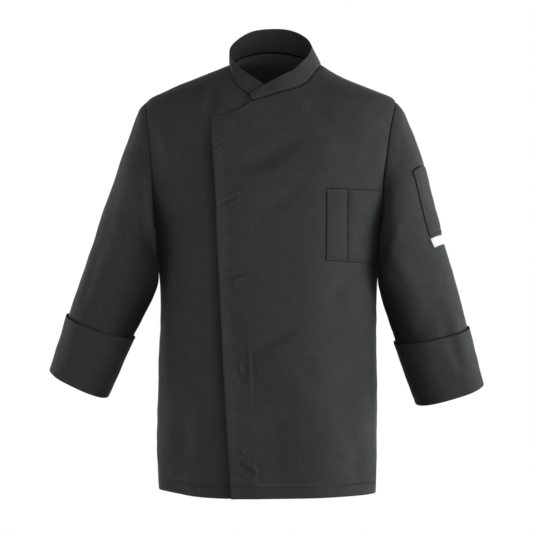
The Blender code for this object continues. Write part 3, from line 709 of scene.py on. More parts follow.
def on_sleeve(side, along, around, offset=.0):
    """Points and normals of the draped sleeve. along is a column and around a row."""
    point, step, turn = sleeve_smooth(side, along, around), .001, .01
    down = sleeve_smooth(side, along + step, around) - sleeve_smooth(side, np.maximum(along - step, .0), around)
    across = sleeve_smooth(side, along, around + turn) - sleeve_smooth(side, along, around - turn)
    normal = unit(side * np.cross(across, down))
    inward, turned = -np.cos(around), ((around + pi) % tau - pi) * SLEEVE_REACH
    calm = 1 - .85 * ramp(.3, .9, inward) * ramp(.24, .16, along)
    fine = crease_lift(SLEEVE_CREASES[side], turned, along, tau * SLEEVE_REACH) + ripple(point)
    lift = soft_folds(SLEEVE_FOLDS, turned, along) * ramp(.02, .1, along)
    lift = lift + calm * ramp(.0, .03, along) * fine + offset
    beside_body = ramp(.75, 1.0, inward) * ramp(.004, .016, along)
    lift = lift + UNDERARM_PRESS * beside_body * ramp(.075, .04, along)
    return point + normal * lift[..., None], normal


# %% [markdown]
# ## From grids to cloth
#
# Cloth could be one sheet with a Solidify modifier, but then its edges would be sharp. So every piece is a
# grid, fine beside its seams, with a second grid under it for its thickness and a lip that closes the rim and
# catches light as folded cloth does.

# %% Stations and walls
FINE_STEP, PANEL_STEP = .0014, .0048
ALL = slice(None)


def stations(length, step, start=.0, end=.0, fine=FINE_STEP):
    """Shares of a length about step apart, and closer within these distances of its start and end."""
    s = np.linspace(0, length, 1001)
    near = np.zeros_like(s)
    for reach, away in ((start, s), (end, length - s)):
        if reach:
            near = np.maximum(near, np.exp(-((away / reach) ** 4)))
    density = (1 - near) / step + near / fine
    total = np.hstack([[.0], np.cumsum((density[1:] + density[:-1]) / 2 * np.diff(s))])
    return np.interp(np.linspace(0, total[-1], max(3, int(round(total[-1])) + 1)), total, s) / length


def quads_of(index, *wrap):
    """The faces of a grid of point numbers. wrap says which axes close on themselves."""
    index = np.pad(index, [(0, closed) for closed in wrap], "wrap")
    return vec(index[:-1, :-1], index[:-1, 1:], index[1:, 1:], index[1:, :-1]).reshape(-1, 4)


def flat_map(grid):
    """How a piece is cut, from its lengths."""
    return vec(lengths(grid, 1), lengths(grid, 0))


print("a seam has", len(stations(.1, PANEL_STEP, .01)), "stations in 0.1 m")

# %% From arrays to pieces


def to_mesh(name, points, faces, uv, seam, finish):
    """An object from arrays, its cut as a UV map and its painted shade and highlights as the seam attribute."""
    data = bpy.data.meshes.new(name)
    data.from_pydata(points.tolist(), [], faces)
    data.uv_layers.new(name="cut").data.foreach_set("uv", uv[np.ravel(faces)].astype(np.float32).ravel())
    data.attributes.new("seam", "FLOAT", "POINT").data.foreach_set("value", seam.astype(np.float32))
    mesh = bmesh.new()
    mesh.from_mesh(data)
    bmesh.ops.recalc_face_normals(mesh, faces=mesh.faces)
    mesh.to_mesh(data)
    mesh.free()
    data.materials.append(finish)
    data.shade_smooth()
    return put(name, data)


def cloth_wall(name, outer, normal, wall, uv, seam, lips, finish=None, tube=False, inside_painted_shade=.0):
    """A closed wall under a grid. A tube's columns run round.

    lips says how far the lip stands out: the usual distance, then the rows or columns that differ and theirs.
    """
    count = outer[..., 0].size
    index = np.arange(count).reshape(outer.shape[:2])
    if tube:
        loops = [(index[0], index[1]), (index[-1], index[-2])]
    else:
        loops = [[
            np.concatenate([index[k, :-1], index[:-1, ~k], index[~k, :0:-1], index[:0:-1, k]]) for k in (0, 1)
        ]]
    seam = np.clip(seam, -.5, 1).ravel()
    points = [outer.reshape(-1, 3), (outer - normal * wall).reshape(-1, 3)]
    # The inner shell takes extra painted shade, and is painted lighter where that extra is below 0.
    uvs, seams = [uv.reshape(-1, 2)] * 2, [seam, seam + inside_painted_shade]
    quads = quads_of(index, 0, int(tube))
    faces = quads.tolist() + (quads[:, ::-1] + count).tolist()
    push = np.full(index.shape, lips[0])
    for where, distance in lips[1:]:
        push[where] = distance
    start = 2 * count
    for loop, beside in loops:
        rim = points[0][loop]
        out = unit(rim - points[0][beside])
        points.append((rim + points[1][loop]) / 2 + out * push.ravel()[loop, None])
        uvs.append(uvs[0][loop])
        seams.append(seams[0][loop])
        lip = start + np.arange(len(loop))
        start += len(loop)
        faces += quads_of(np.stack([loop, lip, loop + count]), 0, 1).tolist()
    points, uvs, seams = (np.concatenate(parts) for parts in (points, uvs, seams))
    return to_mesh(name, points, faces, uvs, seams, finish or twill)


def dress(piece, flat):
    """Hides the solid, named in the piece's own name, that the piece stands for, hangs the piece on the root and
    prints how it was cut.
    """
    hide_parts(piece.name.rsplit("_", 1)[0])
    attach(piece, "root")
    print(piece.name, "cut", flat)


# %% [markdown]
# ## Charcoal twill
#
# Chef's cloth is a dense twill. Its colour is nearly flat, but the yarns vary a little, so faint streaks run
# along and across it, and a very fine diagonal rib breaks up the light. Both follow the cut of each piece
# through its UV map, in metres, as they would on cut cloth. The "seam" attribute holds painted shade: at 1, where
# a piece sinks and collects shadow, colour and gloss are darkened; below 0 it is a painted highlight.

# %% The twill
CHARCOAL, TAPE, THREAD = (.0335, .0355, .035), (.8, .8, .78), (.04, .042, .042, 1)
RIB_SLANT = radians(58)


def speckle(tree, place, scale, low, high):
    """A factor from low to high that changes with the place; scale draws it out along one thread."""
    spot = add(tree, "Mapping", {"Vector": place, "Scale": scale})
    noise = add(tree, "TexNoise", {"Vector": spot, "Scale": 1.0, "Detail": 2.0, "Roughness": .6}, "Fac")
    spread = {"Value": noise, "From Min": .3, "From Max": .7, "To Min": low, "To Max": high}
    return add(tree, "MapRange", spread)


def make_twill(name, colour, rib=.0011, painted_shade_strength=.7, roughness=.82):
    """Woven cloth with yarn streaks, painted shade and highlights from the seam attribute, and a diagonal rib."""
    material, tree = new_material(name)
    cut = add(tree, "UVMap", uv_map="cut")
    spot = add(tree, "TexCoord", output="Object")
    seam = add(tree, "Attribute", output="Fac", attribute_name="seam")
    # The seam attribute scales colour, specular and sheen: painted shade above 0, a painted highlight below 0.
    fall = {"Value": seam, "To Min": 1.0, "To Max": 1.0 - painted_shade_strength}
    shade = painted_shading = add(tree, "MapRange", fall, clamp=False)
    for place, scale, low, high in (
        (cut, (420, 9, 1), .95, 1.05), (cut, (7, 380, 1), .97, 1.04),
        (spot, (14, 14, 14), .93, 1.07), (spot, (160, 160, 160), .9, 1.1),
    ):
        shade = maths(tree, "MULTIPLY", shade, speckle(tree, place, scale, low, high))
    slanted = add(tree, "Mapping", {"Vector": cut, "Rotation": (0, 0, RIB_SLANT)})
    ribs = {"Vector": slanted, "Scale": 1 / rib / 3.14, "Distortion": .6, "Detail": 1.0}
    wave = add(tree, "TexWave", ribs, "Fac", wave_type="BANDS", bands_direction="X")
    wire(tree.nodes[SURFACE], {
        "Base Color": add(tree, "VectorMath", {0: colour, "Scale": shade}, operation="SCALE"),
        "Roughness": speckle(tree, spot, (60, 60, 60), roughness - .05, roughness + .05),
        "Specular IOR Level": maths(tree, "MULTIPLY", painted_shading, .3),
        "Sheen Weight": maths(tree, "MULTIPLY", painted_shading, .1),
        "Sheen Roughness": .45,
        "Normal": add(tree, "Bump", {"Height": wave, "Strength": .35, "Distance": .00012}),
    })
    return material


twill = make_twill("charcoal_twill", CHARCOAL)
thread, tree = new_material("charcoal_thread")
wire(tree.nodes[SURFACE], {"Base Color": THREAD, "Roughness": .55})
white_tape = make_twill("white_tape", TAPE, rib=.0008, painted_shade_strength=.15, roughness=.7)
print("finishes:", twill.name, thread.name, white_tape.name)

# %% [markdown]
# ## The fronts
#
# Each front is one panel between four borders: its hem, its free edge, the neck with the shoulder, and the side
# seam with the armhole. A Coons patch fills them with a smooth grid, as a flexible sheet settles between them.
# The outer front has a turned edge held by stitches, a second row that holds the facing of the press studs, and
# puckers where a closed stud holds both layers.

# %% Borders of the body panels
# Where along a border one stretch of it gives way to the next.
SIDE_SHARE, LAP_SHARE, NECK_SHARE, BACK_NECK_SHARE = 15 / 27, 4 / 18, 12 / 18, 8 / 14
EDGE_STITCH, FACING_STITCH, HEM_STITCH = .0055, .046, .02
stitch_lines, tack_lines, label_lines = [], [], []


def along_line(chart, face, shares):
    """Chart places at shares of a line's length, measured on the body."""
    along = lengths(body_point(angle_of(chart, face), chart[:, 1]), 0)
    return vec(*(np.interp(shares * along[-1], along, chart[:, k]) for k in range(2)))


def join(*stretches):
    """One border from stretches: first share, last share, stations, chart line."""
    shares = [(first + (last - first) * t)[:-1] for first, last, t, _ in stretches]
    lines = [line[:-1] for *_, line in stretches]
    return np.hstack([*shares, [1.0]]), np.vstack([*lines, stretches[-1][-1][-1:]])


def neck_chart(turns, face):
    """The neck seam, at turns in degrees."""
    if face == BACK:
        z = BACK_NECK.at("z", turns)
        return vec(np.sign(180 - turns) * arc_at(np.radians(np.abs(180 - turns)), z, BACK), z)
    z = NECK.at("z", turns)
    chart = chart_at(NECK.at("x", turns), z, face)
    for turn, side in ((90, LEFT), (270, RIGHT)):
        at_end = np.isclose(turns, turn)
        chart[at_end] = side_chart(side, face, z)[at_end]
    return chart


def finer(shares, spans):
    """The same stations with each step inside the spans cut in three."""
    parts = [3 if any(low < middle < high for low, high in spans) else 1 for middle in (shares[1:] + shares[:-1]) / 2]
    steps = [np.linspace(*ends, n, endpoint=False) for *ends, n in zip(shares[:-1], shares[1:], parts)]
    return np.hstack([*steps, shares[-1:]])


def outer_border(side, face, spans=()):
    """Up the side seam and round half the armhole, with finer rows in the spans."""
    spans = np.reshape(spans, (-1, 2))
    rise = finer(stations(UNDERARM - HEM, .0052, .028), spans / SIDE_SHARE)
    round_arm = finer(stations(.26, PANEL_STEP, 0, .014), (spans - SIDE_SHARE) / (1 - SIDE_SHARE))
    seam = side_chart(side, face, HEM + (UNDERARM - HEM) * rise)
    arm = armhole_chart(side, (pi - pi * round_arm) * face, face)
    return join((.0, SIDE_SHARE, rise, seam), (SIDE_SHARE, 1.0, round_arm, arm))


def shoulder_border(side, face):
    t = stations(.145, PANEL_STEP, 0, .012)
    return t, along_line(side_chart(side, face, np.linspace(NECK_END, SHOULDER, 60)), face, t)


def patch(bottom, top, left, right, u, v):
    """Fills four chart lines with a grid at these shares (a Coons patch)."""
    u, v = u[None, :, None], v[:, None, None]
    ruled = (1 - v) * bottom[None] + v * top[None] + (1 - u) * left[:, None] + u * right[:, None]
    corners = (1 - u) * (1 - v) * bottom[0] + u * (1 - v) * bottom[-1]
    return ruled - corners - (1 - u) * v * top[0] - u * v * top[-1]


print("side border:", len(outer_border(LEFT, BACK)[0]), "stations")

# %% Seams and stitches on a grid


def straight(start, end, shares):
    return start + np.subtract(end, start) * shares[:, None]


def groove(away, width, depth):
    return -depth * bell(away, width)


def seam_lift(away):
    """A seam draws the cloth down beside it, past a low swell."""
    return groove(away, .0019, .0007) - groove(away - .005, .0025, .00025)


def hem_lift(away):
    """The turned-up hem is two layers thick, below a row of stitches."""
    return groove(away - HEM_STITCH, .0013, .0004) + .0004 * ramp(.0215, .018, away)


def pull_back(grid, edge, beside):
    """Leaves half a seam's gap at a panel's edge."""
    grid[edge] -= unit(grid[edge] - grid[beside]) * SEAM_GAP / 2


def stitch(grid, field, level, axis, where=..., lines=stitch_lines):
    """Keeps the line on part of a grid where a field first reaches a level along an axis."""
    grid, field = grid[where], field[where]
    if axis == 0:
        grid, field = grid.swapaxes(0, 1), field.T
    line = []
    for points, values in zip(grid, field - level):
        past = np.nonzero(values[:-1] * values[1:] <= 0)[0]
        if len(past):
            i = past[0]
            line.append(points[i] + values[i] / (values[i] - values[i + 1]) * (points[i + 1] - points[i]))
    lines.append(np.array(line))


# %% The two fronts
# Puckers: from and to, as distance from the free edge and height; half width; depth.
LAP_CREASES = rows_of("""
3 -244 34 -235 3 2.3
6 -245.5 26 -253 3 1.7
6 -374 46 -366.5 3.6 2.6
12 -394.5 44 -396 3.6 2
24 -385 31 -385 4.5 -1.4
28.5 -522.5 29.5 -538.5 3.4 -1.6
25 -543 29 -560 5.6 1.5
44 -544 43.5 -562 5.6 -1.1
47 -496 45 -560 4 -1.2
23.5 -674 24.5 -681.5 3 -1.2
4 -681 28 -679 3 1.6
20 -695 30 -698.5 4.2 -1.6
30 -698.5 39 -704 4.2 -2.2
39 -704 45 -711 4.2 -1.9
45 -711 46.5 -717 4.2 -1.2
18 -704 36 -714 4.8 1.6
47.8 -710 48.5 -730 2.8 0.7
12 -712 26 -719 3.4 -1.2
1 -150 14 -140 2.2 0.8
1 -159 16 -148 2.2 0.8
1 -138 13 -127 2.2 0.6
6 -277 40 -275 3.2 0.9
8 -295 46 -293 3.4 1
6 -316 36 -315 3.2 0.8
10 -335 42 -333 3.4 0.8
12 -435 36 -437 3.6 0.8
8 -610 34 -608 3.6 0.8
""", [MM] * 6)
print(len(LAP_CREASES), "puckers beside the studs")
LAP_CURL = .0036
# The heights between which the puckers need finer rows.
STUD_HEIGHTS = ((-.74, -.668), (-.575, -.488), (-.405, -.362), (-.305, -.225), (-.168, -.122))


def puckers(across, height):
    here, lift = vec(across, height), np.zeros(across.shape)
    for a, b, c, d, width, depth in LAP_CREASES:
        away, s = from_segment(here, (a, b), (c, d))
        lift -= depth * trough(away, width, .4) * (.35 + .65 * np.sin(pi * s))
    return lift


def front_cloth(side):
    on_top = side == LEFT
    if on_top:
        top_x, lap_t = np.linspace(LAP_TOP.last, LAP_TOP.first, 80), stations(.08, .0016)
        top_z, turns = LAP_TOP.at("z", top_x), (NECK.first, 90)
    else:
        top_x, top_z = (np.linspace(*ends, 40) for ends in zip(UNDERLAP_EDGE, UNDERLAP_NECK))
        lap_t, turns = stations(.057, .0055), (NECK.last, 270)
    neck_t = stations(.15, PANEL_STEP)
    u, top = join(
        (.0, LAP_SHARE, lap_t, along_line(chart_at(-side * top_x, top_z, FRONT), FRONT, lap_t)),
        (LAP_SHARE, NECK_SHARE, neck_t, neck_chart(turns[0] + (turns[1] - turns[0]) * neck_t, FRONT)),
        (NECK_SHARE, 1.0, *shoulder_border(side, FRONT)),
    )
    v, outer_edge = outer_border(side, FRONT, (np.array(STUD_HEIGHTS) - HEM) / (top_z[0] - HEM) if on_top else ())
    edge_z = HEM + (top_z[0] - HEM) * v
    edge = chart_at(-side * (LAP_EDGE.at("x", edge_z) if on_top else UNDERLAP_EDGE[0]), edge_z, FRONT)
    chart = hang(patch(straight(edge[0], outer_edge[0], u), top, edge, outer_edge, u, v), FRONT)
    outer, normal = on_body(chart, FRONT, on_top)
    lap_end = len(lap_t) - 1
    lap_top, sewn_top = (-1, slice(lap_end + 1)), (-1, slice(lap_end, None))
    to_seam = gap_to(outer, np.vstack([outer[sewn_top], outer[::-1, -1]]))
    to_hem = lengths(outer, 0)
    lift = (1.0 if on_top else .5) * seam_lift(to_seam) + hem_lift(to_hem)
    # Painted shade in the seam's groove, weaker on the inner front, and along the hem's stitches.
    seam = (.9 if on_top else .3) * bell(to_seam, .0013) + .35 * bell(to_hem - HEM_STITCH, .0012)
    x, z = outer[..., 0], outer[..., 2]
    if on_top:
        to_edge, to_top = (gap_to(outer, line) for line in (outer[:, 0], outer[lap_top]))
        to_rim = np.minimum(to_edge, to_top)
        lift += groove(to_rim - EDGE_STITCH, .0012, .0004) + groove(to_edge - FACING_STITCH, .0018, .0002)
        lift += .0007 * ramp(.049, .0455, to_edge) * ramp(-.4, -.5, z)
        lift += LAP_CURL * bell(to_edge, .011) * ramp(-.115, -.17, z)
        lift += puckers(lengths(outer, 1), z)
        # A painted highlight along the hem's roll, near the middle.
        hem_painted_highlight = ramp(-.017, -.012, x) * (1 - .55 * ramp(.043, .048, x)) * ramp(.12, .09, x)
        seam -= .5 * hem_painted_highlight * bell(to_hem - HEM_STITCH - .0034, .0014)
        # Painted shade along the hem's stitches near the side, and along the edge and facing stitches.
        seam += .35 * ramp(.12, .15, x) * bell(to_hem - HEM_STITCH, .0014)
        seam += .15 * bell(to_rim - EDGE_STITCH, .001) + .12 * bell(to_edge - FACING_STITCH, .0012)
    else:
        # The inner front lies in a soft trough beside the lap's edge.
        to_lap = x + LAP_EDGE.at("x", z)
        fall = ramp(-.1, -.15, z) * (1 - .5 * ramp(-.45, -.65, z))
        lift += (groove(to_lap - .004, .018, .0046) + groove(to_lap + .05, .03, .0016)) * fall
    outer = outer + normal * lift[..., None]
    stitch(outer, to_hem, HEM_STITCH, 0)
    if on_top:
        to_top = gap_to(outer, outer[lap_top])
        below = to_top[:, 2] > EDGE_STITCH
        stitch(outer, to_edge, EDGE_STITCH, 1, below)
        stitch(outer, to_top, EDGE_STITCH, 0, np.s_[::-1, 3 : lap_end + 1])
        stitch(outer, to_edge, FACING_STITCH, 1, below)
    uv = vec(chart[..., 0], to_hem)
    pull_back(outer, sewn_top, (-2, slice(lap_end, None)))
    pull_back(outer, (ALL, -1), (ALL, -2))
    lips = .0006, (sewn_top, .0004), ((ALL, -1), .0004)
    return cloth_wall(SIDES[side] + "_front_cloth", outer, normal, WALL, uv, seam, lips)


dress(front_cloth(LEFT), flat=(.42, .79))
dress(front_cloth(RIGHT), flat=(.4, .79))

# %% [markdown]
# ## The back
#
# The back is one wide panel. Its halves are made like the fronts, from the middle outwards, so that both sides
# match, and share the middle column.

# %% The back


def back_half(side):
    neck_t = stations(.09, .005)
    neck_line = neck_chart(180 - side * 90 * neck_t, BACK)
    u, top = join((.0, BACK_NECK_SHARE, neck_t, neck_line), (BACK_NECK_SHARE, 1.0, *shoulder_border(side, BACK)))
    v, outer_edge = outer_border(side, BACK)
    middle = straight((.0, HEM), (.0, neck_line[0, 1]), v)
    return hang(patch(straight(middle[0], outer_edge[0], u), top, middle, outer_edge, u, v), BACK)


chart = np.concatenate([back_half(LEFT)[:, ::-1], back_half(RIGHT)[:, 1:]], axis=1)
outer, normal = on_body(chart, BACK)
to_seam = gap_to(outer, np.vstack([outer[:, 0], outer[-1], outer[::-1, -1]]))
to_hem = lengths(outer, 0)
outer = outer + normal * (seam_lift(to_seam) + hem_lift(to_hem))[..., None]
# Painted shade in the seams' grooves and along the hem's stitches.
seam = bell(to_seam, .0013) + .35 * bell(to_hem - HEM_STITCH, .0012)
for edge_at, beside in (((-1,), (-2,)), ((ALL, -1), (ALL, -2)), ((ALL, 0), (ALL, 1))):
    pull_back(outer, edge_at, beside)
stitch(outer, to_hem, HEM_STITCH, 0)
half = outer.shape[1] // 2
for shoulder in (outer[::-1], outer[::-1, ::-1]):
    shoulder = shoulder[:, 3 : half - int(BACK_NECK_SHARE * half) - 2]
    stitch(shoulder, gap_to(shoulder, shoulder[0]), EDGE_STITCH, 0)
uv = vec(chart[..., 0], to_hem)
lips = .0004, (0, .0006)
# The back's inner shell is painted lighter.
back = cloth_wall("back_cloth", outer, normal, WALL, uv, seam, lips, inside_painted_shade=-.6)
dress(back, flat=(.6, .79))

# %% [markdown]
# ## The stand collar
#
# The collar is a stiffened band, twice as thick as the cloth. It stands on the neck seam and leans in towards
# its free edge, so it is a grid drawn straight between these two lines.

# %% The collar
COLLAR_BULGE, RIM_STITCH, FOOT_STITCH = .0008, .005, .003
turns = [np.interp(stations(.2, .0032), (0, 1), ends) for ends in ((NECK.first, 90), (90, 270), (270, NECK.last))]
foot = [on_body(neck_chart(turns[k], face), face, k == 0)[0] for k, face in enumerate((FRONT, BACK, FRONT))]
turns, foot = (np.concatenate([parts[0], parts[1][1:], parts[2][1:]]) for parts in (turns, foot))
turns = np.interp(turns, (NECK.first, 15, 345, NECK.last), (RIM.first, 15, 345, RIM.last))
rim_x = RIM_CENTRE + RIM_HALF_WIDTH * np.sin(np.radians(turns))
rim = vec(rim_x, RIM.at("y", turns), RIM.at("z", turns))
rise = stations(.045, .003, .006, .006)
outer = foot + (rim - foot) * rise[:, None, None] + unit(rim - foot) * SEAM_GAP / 2 * (1 - rise[:, None, None])
normal = np.cross(np.gradient(outer, axis=1), (rim - foot)[None])
outwards = (normal * (outer - (RIM_CENTRE, -.01, .0)))[..., :2].sum(-1, keepdims=True)
normal = unit(normal * np.sign(outwards))
to_rim = np.min([gap_to(outer, edge) for edge in (outer[-1], outer[:, 0], outer[:, -1])], axis=0)
to_foot = gap_to(outer, outer[0])
lift = COLLAR_BULGE * np.sin(pi * rise)[:, None] + seam_lift(to_foot)
lift = lift + groove(to_rim - RIM_STITCH, .0012, .0003)
uv = flat_map(outer)
# Painted shade in the seam at its foot and along the rim's stitches.
seam = bell(to_foot, .0014) + .25 * bell(to_rim - RIM_STITCH, .001)
outer = outer + normal * lift[..., None]
stitch(outer, gap_to(outer, outer[-1]), RIM_STITCH, 0, np.s_[::-1, 2:-2])
stitch(outer, to_foot, FOOT_STITCH, 0, np.s_[:, 2:-2])
stitch(outer, gap_to(outer, outer[:, 0]), RIM_STITCH, 1, np.s_[2:-3])
lips = .0008, (0, .0016)
# The collar's inner shell is painted darker.
collar = cloth_wall("collar_cloth", outer, normal, COLLAR_WALL, uv, seam, lips, inside_painted_shade=.4)
dress(collar, flat=(.5, .05))

# %% [markdown]
# ## Sleeves and turned-back cuffs
#
# A sleeve is a tube with one seam under the arm, with painted shade on the side that lies in the body's shelter. Its
# end is turned back into a deep cuff that stands a little off the sleeve. Folding the sleeve's own grid would crush
# it at the fold, so the cuff is a ring of its own, whose profile runs down outside, round the fold and up again.

# %% The sleeves
# How dark the painted shade is on the side of each sleeve and cuff that faces the body.
BODY_SIDE_PAINTED_SHADE = {LEFT: .8, RIGHT: .97}


def angles_round(length):
    """A row of angles round a tube, from its seam under the arm."""
    return (pi + tau * stations(length, .0042, .009, .009)[:-1])[None, :]


def sleeve_cloth(side):
    around = angles_round(.41)
    along = (SLEEVES[side].last * stations(.43, PANEL_STEP, .01))[:, None]
    outer, normal = on_sleeve(side, along, around)
    armhole = np.vstack([outer[0], outer[:1, 0]])
    to_seam = np.minimum(gap_to(outer, armhole), gap_to(outer, outer[:, 0]))
    outer = outer + normal * ((1.0 if side == LEFT else .5) * seam_lift(to_seam))[..., None]
    pull_back(outer, (0,), (1,))
    # Painted shade in the seams' grooves and on the side of the sleeve towards the body.
    painted_shade_by_body = ramp(-.15, .85, -np.cos(around)) * ramp(.03, .12, along)
    seam = np.maximum((.9 if side == LEFT else .3) * bell(to_seam, .0013), BODY_SIDE_PAINTED_SHADE[side] * painted_shade_by_body)
    lips = .0005, (0, .0004)
    return cloth_wall(SIDES[side] + "_sleeve_cloth", outer, normal, WALL, flat_map(outer), seam, lips, tube=True)


for side, area in ((LEFT, .178), (RIGHT, .17)):
    dress(sleeve_cloth(side), flat=(.46, .53))

# %% The cuffs
CUFF_DEPTH, CUFF_FOLD, CUFF_RADIUS = .113, .0034, .063
CUFF_WALL, GAP_TOP, GAP_FOLD = .0015, .003, .001


def cuff_cloth(side):
    end = SLEEVES[side].last
    top, fold = end - CUFF_DEPTH, end + CUFF_FOLD
    share = stations(CUFF_DEPTH, .0036, .008, .006)
    gap = GAP_FOLD + (GAP_TOP - GAP_FOLD) * (1 - share) ** 2
    down = top + (end - top) * share
    # Round the fold and over the top edge: distance along the sleeve, and how far off it.
    turn = [
        (end + .0013, GAP_FOLD + CUFF_WALL), (fold - .0008, GAP_FOLD + .7 * CUFF_WALL), (fold - .0002, GAP_FOLD),
        (fold, .0), (fold - .0002, -.6 * CUFF_WALL), (fold - .001, -CUFF_WALL),
        (end + SEAM_GAP, -CUFF_WALL), (end + SEAM_GAP, GAP_FOLD),
    ]
    edge = [(top - .0005, GAP_TOP + part * CUFF_WALL) for part in (.25, .75)]
    profile = [*zip(down, gap + CUFF_WALL), *turn, *zip(down[-2::-1], gap[-2::-1]), *edge]
    distance, offset = (np.array(column)[:, None] for column in zip(*profile))
    around, held = angles_round(.4), np.minimum(distance, end)
    points, normal = on_sleeve(side, held, around, offset)
    before, _ = on_sleeve(side, held - .01, around, offset)
    grid = points + (points - before) / .01 * (distance - held)[..., None]
    showing = (offset >= GAP_FOLD + .9 * CUFF_WALL) | (offset > GAP_TOP)
    ease = 1.0 * (showing & (distance <= end))
    to_seam = np.minimum(around - pi, 3 * pi - around) * CUFF_RADIUS
    grid = grid + normal * (.25 * groove(to_seam, .0022, .0012) * ease)[..., None]
    # Painted shade along its seam and top edge, and on the side towards the body.
    seam = (.7 * bell(to_seam, .0014) + .5 * bell(np.abs(distance - top), .0012)) * ease
    seam = np.maximum(seam, .6 * BODY_SIDE_PAINTED_SHADE[side] * ramp(-.05, .85, -np.cos(around)))
    faces = quads_of(np.arange(seam.size).reshape(seam.shape), 1, 1).tolist()
    uv = vec(lengths(grid, 1), np.broadcast_to(distance, seam.shape)).reshape(-1, 2)
    return to_mesh(SIDES[side] + "_cuff_cloth", grid.reshape(-1, 3), faces, uv, seam.ravel(), twill)


for side in (LEFT, RIGHT):
    dress(cuff_cloth(side), flat=(.42, .118))

# %% [markdown]
# ## Pockets and label
#
# The chest pocket is a square of cloth sewn down on three sides, and a row of stitches across it makes a narrow
# slot for a pen. The sleeve has a long pen pocket, and below it a small white tape. All are laid out on the
# chart of what they lie on, so that they follow its folds.

# %% The chest pocket
# Its free corners, and where its outer edge is caught in the seams.
POCKET_TOP, POCKET_FOOT = (.1025, -.218), (.1005, -.343)
POCKET_SEAM = Table("z degrees", """
-221 59
-240 63
-260 68.5
-280 72.5
-300 73
-320 72.5
-352 71.5
""")
PEN_SLOT_X, MOUTH_STITCH, TACK_WIDTH, STAND_OFF = .1392, .018, .002, .0006
POCKET_ROWS = (.0014, .006)

top, foot = (chart_at(*np.array(corner)[:, None], FRONT)[0] for corner in (POCKET_TOP, POCKET_FOOT))
v, u = stations(.128, .0026, .01, .012), stations(.096, .0012, .01, fine=.001)
z = POCKET_SEAM.first + (POCKET_SEAM.last - POCKET_SEAM.first) * v
caught = vec(arc_at(np.radians(POCKET_SEAM.at("degrees", z)), z, FRONT), z)
chart = patch(straight(foot, caught[0], u), straight(top, caught[-1], u), straight(foot, top, v), caught, u, v)
under, normal = on_body(chart, FRONT, on_top=True)
slot_z = np.linspace(POCKET_FOOT[1] + .002, POCKET_TOP[1] - .001, 40)
slot_line, _ = on_body(chart_at(np.full_like(slot_z, PEN_SLOT_X), slot_z, FRONT), FRONT, on_top=True)
sewn = np.vstack([under[::-1, 0], under[0]])
to_left, to_foot, to_mouth, to_slot, to_sewn = (
    gap_to(under, line) for line in (under[:, 0], under[0], under[-1], slot_line, sewn)
)
lift = STAND_OFF + .0012 * ramp(.002, .02, to_sewn) * ramp(.001, .012, to_slot)
lift = lift + groove(to_sewn - .005, .0011, .0002) + groove(to_slot, .0012, .0006)
lift = lift + groove(to_mouth - MOUTH_STITCH, .0012, .0003)
# Painted shade along the sewn edges, the pen slot, the mouth and the rows of stitches.
seam = .85 * bell(to_sewn, .0014) + bell(to_slot, .0016) + .8 * bell(to_mouth, .0012)
seam += .35 * bell(to_sewn - .005, .001) + .25 * bell(to_mouth - MOUTH_STITCH, .001)
outer = under + normal * (lift + POCKET_WALL)[..., None]
for row in POCKET_ROWS:
    rows, columns = to_foot[:, 8] > row, to_left[8] > row
    stitch(outer, to_left, row, 1, rows)
    stitch(outer, to_foot, row, 0, np.s_[:, columns])
stitch(outer, to_mouth, MOUTH_STITCH, 0, np.s_[::-1, 2:])
stitch(outer, outer[..., 0], PEN_SLOT_X, 1, np.s_[2:-1])
for column in (1, np.argmin(to_slot[-1])):
    tack = outer[-5:-1, column]
    half = unit(np.cross(tack[-1] - tack[0], normal[-1, column])) * TACK_WIDTH / 2
    middles = straight(tack[0], tack[-1], np.linspace(0, 1, 16))
    tack_lines += [np.array([middle - half, middle + half]) for middle in middles]
pocket = cloth_wall("chest_pocket_cloth", outer, normal, POCKET_WALL, chart, seam, (.0003,))
dress(pocket, flat=(.115, .15))

# %% The sleeve pocket and the label
# Corners in distances along and degrees round the sleeve, from the upper front one back, down and forward.
SLEEVE_POCKET = ((.063, 59.0), (.09, 2.0), (.1745, -2.0), (.164, 54.0))
LABEL = ((.1676, 54.0), (.1755, 18.0), (.1863, 13.0), (.1805, 51.5))


def sleeve_patch(name, place, finish, puff, shade, lines):
    """A rectangle of cloth sewn on the sleeve."""
    upper_front, upper_back, lower_back, lower_front = np.array(place)
    t = stations(.06, .002, .008, .008)[None, :, None]
    s = stations(lower_front[0] - upper_front[0], .0026, .006, .006)[:, None, None]
    places = (1 - s) * ((1 - t) * upper_front + t * upper_back) + s * ((1 - t) * lower_front + t * lower_back)
    under, normal = on_sleeve(LEFT, places[..., 0], np.radians(places[..., 1]))
    edges = under[:, 0], under[:, -1], under[-1], under[0]
    to_front, to_back, to_foot, to_mouth = (gap_to(under, line) for line in edges)
    to_sewn = np.min([to_front, to_back, to_foot], axis=0)
    lift = STAND_OFF + puff * ramp(.002, .018, to_sewn) + groove(to_sewn - .004, .001, .0002)
    # Painted shade along the sewn edges and the mouth, scaled by shade.
    seam = shade * (bell(to_sewn, .0014) + bell(to_mouth, .0012))
    outer = under + normal * (lift + POCKET_WALL)[..., None]
    parts = (to_front, 1, np.s_[1:-1]), (to_back, 1, np.s_[1:-1, ::-1]), (to_foot, 0, np.s_[::-1, 1:-1])
    for gap, axis, where in parts:
        stitch(outer, gap, POCKET_ROWS[0], axis, where, lines)
    return cloth_wall(name, outer, normal, POCKET_WALL, flat_map(under), seam, (.0003,), finish)


pocket = sleeve_patch("sleeve_pocket_cloth", SLEEVE_POCKET, twill, .001, 1.0, stitch_lines)
label = sleeve_patch("label_tape", LABEL, white_tape, .0, .3, label_lines)
dress(pocket, flat=(.066, .118))
dress(label, flat=(.046, .017))

# %% [markdown]
# ## Stitches
#
# Every sewn line is a row of small thread loops. Geometry Nodes set one loop at each step along the lines, each
# a little different, because a painted line would look flat. The result is kept as a plain mesh.

# %% Rows of stitches


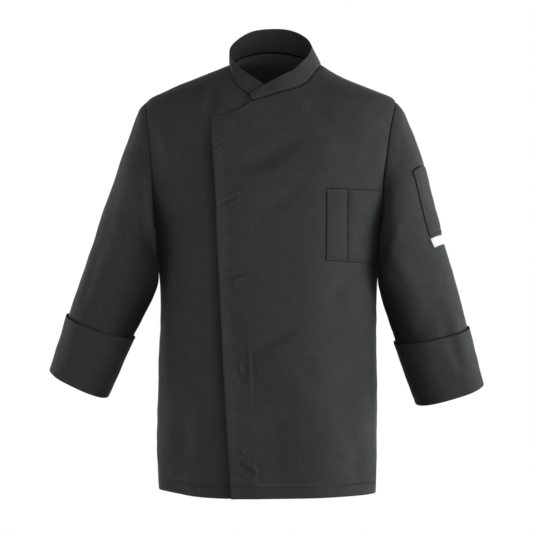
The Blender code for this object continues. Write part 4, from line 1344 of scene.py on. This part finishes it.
def stitch_group(name, pitch, size, finish):
    """Nodes that set a thread loop at each step along lines."""
    group = bpy.data.node_groups.new(name, "GeometryNodeTree")
    for way in ("INPUT", "OUTPUT"):
        group.interface.new_socket("Geometry", in_out=way, socket_type="NodeSocketGeometry")
    curve = add(group, "MeshToCurve", {"Mesh": add(group, "NodeGroupInput")})
    points = add(group, "CurveToPoints", {"Curve": curve, "Length": pitch}, mode="LENGTH")
    along = {"Vector": points.node.outputs["Tangent"]}
    ball = add(group, "MeshUVSphere", {"Segments": 6, "Rings": 4, "Radius": .5})
    spread = {"Min": (.88, .85, .85), "Max": (1.08, 1.15, 1.15), "Seed": 7}
    loops = add(group, "InstanceOnPoints", {
        "Points": points,
        "Instance": add(group, "Transform", {"Geometry": ball, "Scale": size}),
        "Rotation": add(group, "FunctionNodeAlignRotationToVector", along, axis="X"),
        "Scale": add(group, "FunctionNodeRandomValue", spread, data_type="FLOAT_VECTOR"),
    })
    loops = add(group, "RealizeInstances", {"Geometry": loops})
    made = add(group, "SetMaterial", {"Geometry": loops, "Material": finish})
    wire(group.nodes.new("NodeGroupOutput"), {0: made})
    return group


def sew(name, lines, pitch, size, finish):
    starts = np.cumsum([0] + [len(line) for line in lines])
    edges = [(k, k + 1) for first, last in zip(starts[:-1], starts[1:]) for k in range(first, last - 1)]
    guide = bpy.data.meshes.new(name + "_lines")
    guide.from_pydata(np.vstack(lines).tolist(), edges, [])
    guide.materials.append(finish)
    carrier = put(name + "_lines", guide)
    carrier.modifiers.new("stitches", "NODES").node_group = stitch_group(name, pitch, size, finish)
    bpy.context.view_layer.update()
    seen = carrier.evaluated_get(bpy.context.evaluated_depsgraph_get())
    rows = put(name, bpy.data.meshes.new_from_object(seen))
    bpy.data.objects.remove(carrier)
    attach(rows, "root")
    print(name, "-", len(lines), "rows,", len(rows.data.polygons), "faces")


sew("jacket_stitches", stitch_lines, .0031, (.0025, .00046, .00046), thread)
sew("bar_tacks", tack_lines, .01, (TACK_WIDTH, .0006, .0006), thread)
sew("label_stitches", label_lines, .0022, (.0017, .0003, .0003), white_tape)
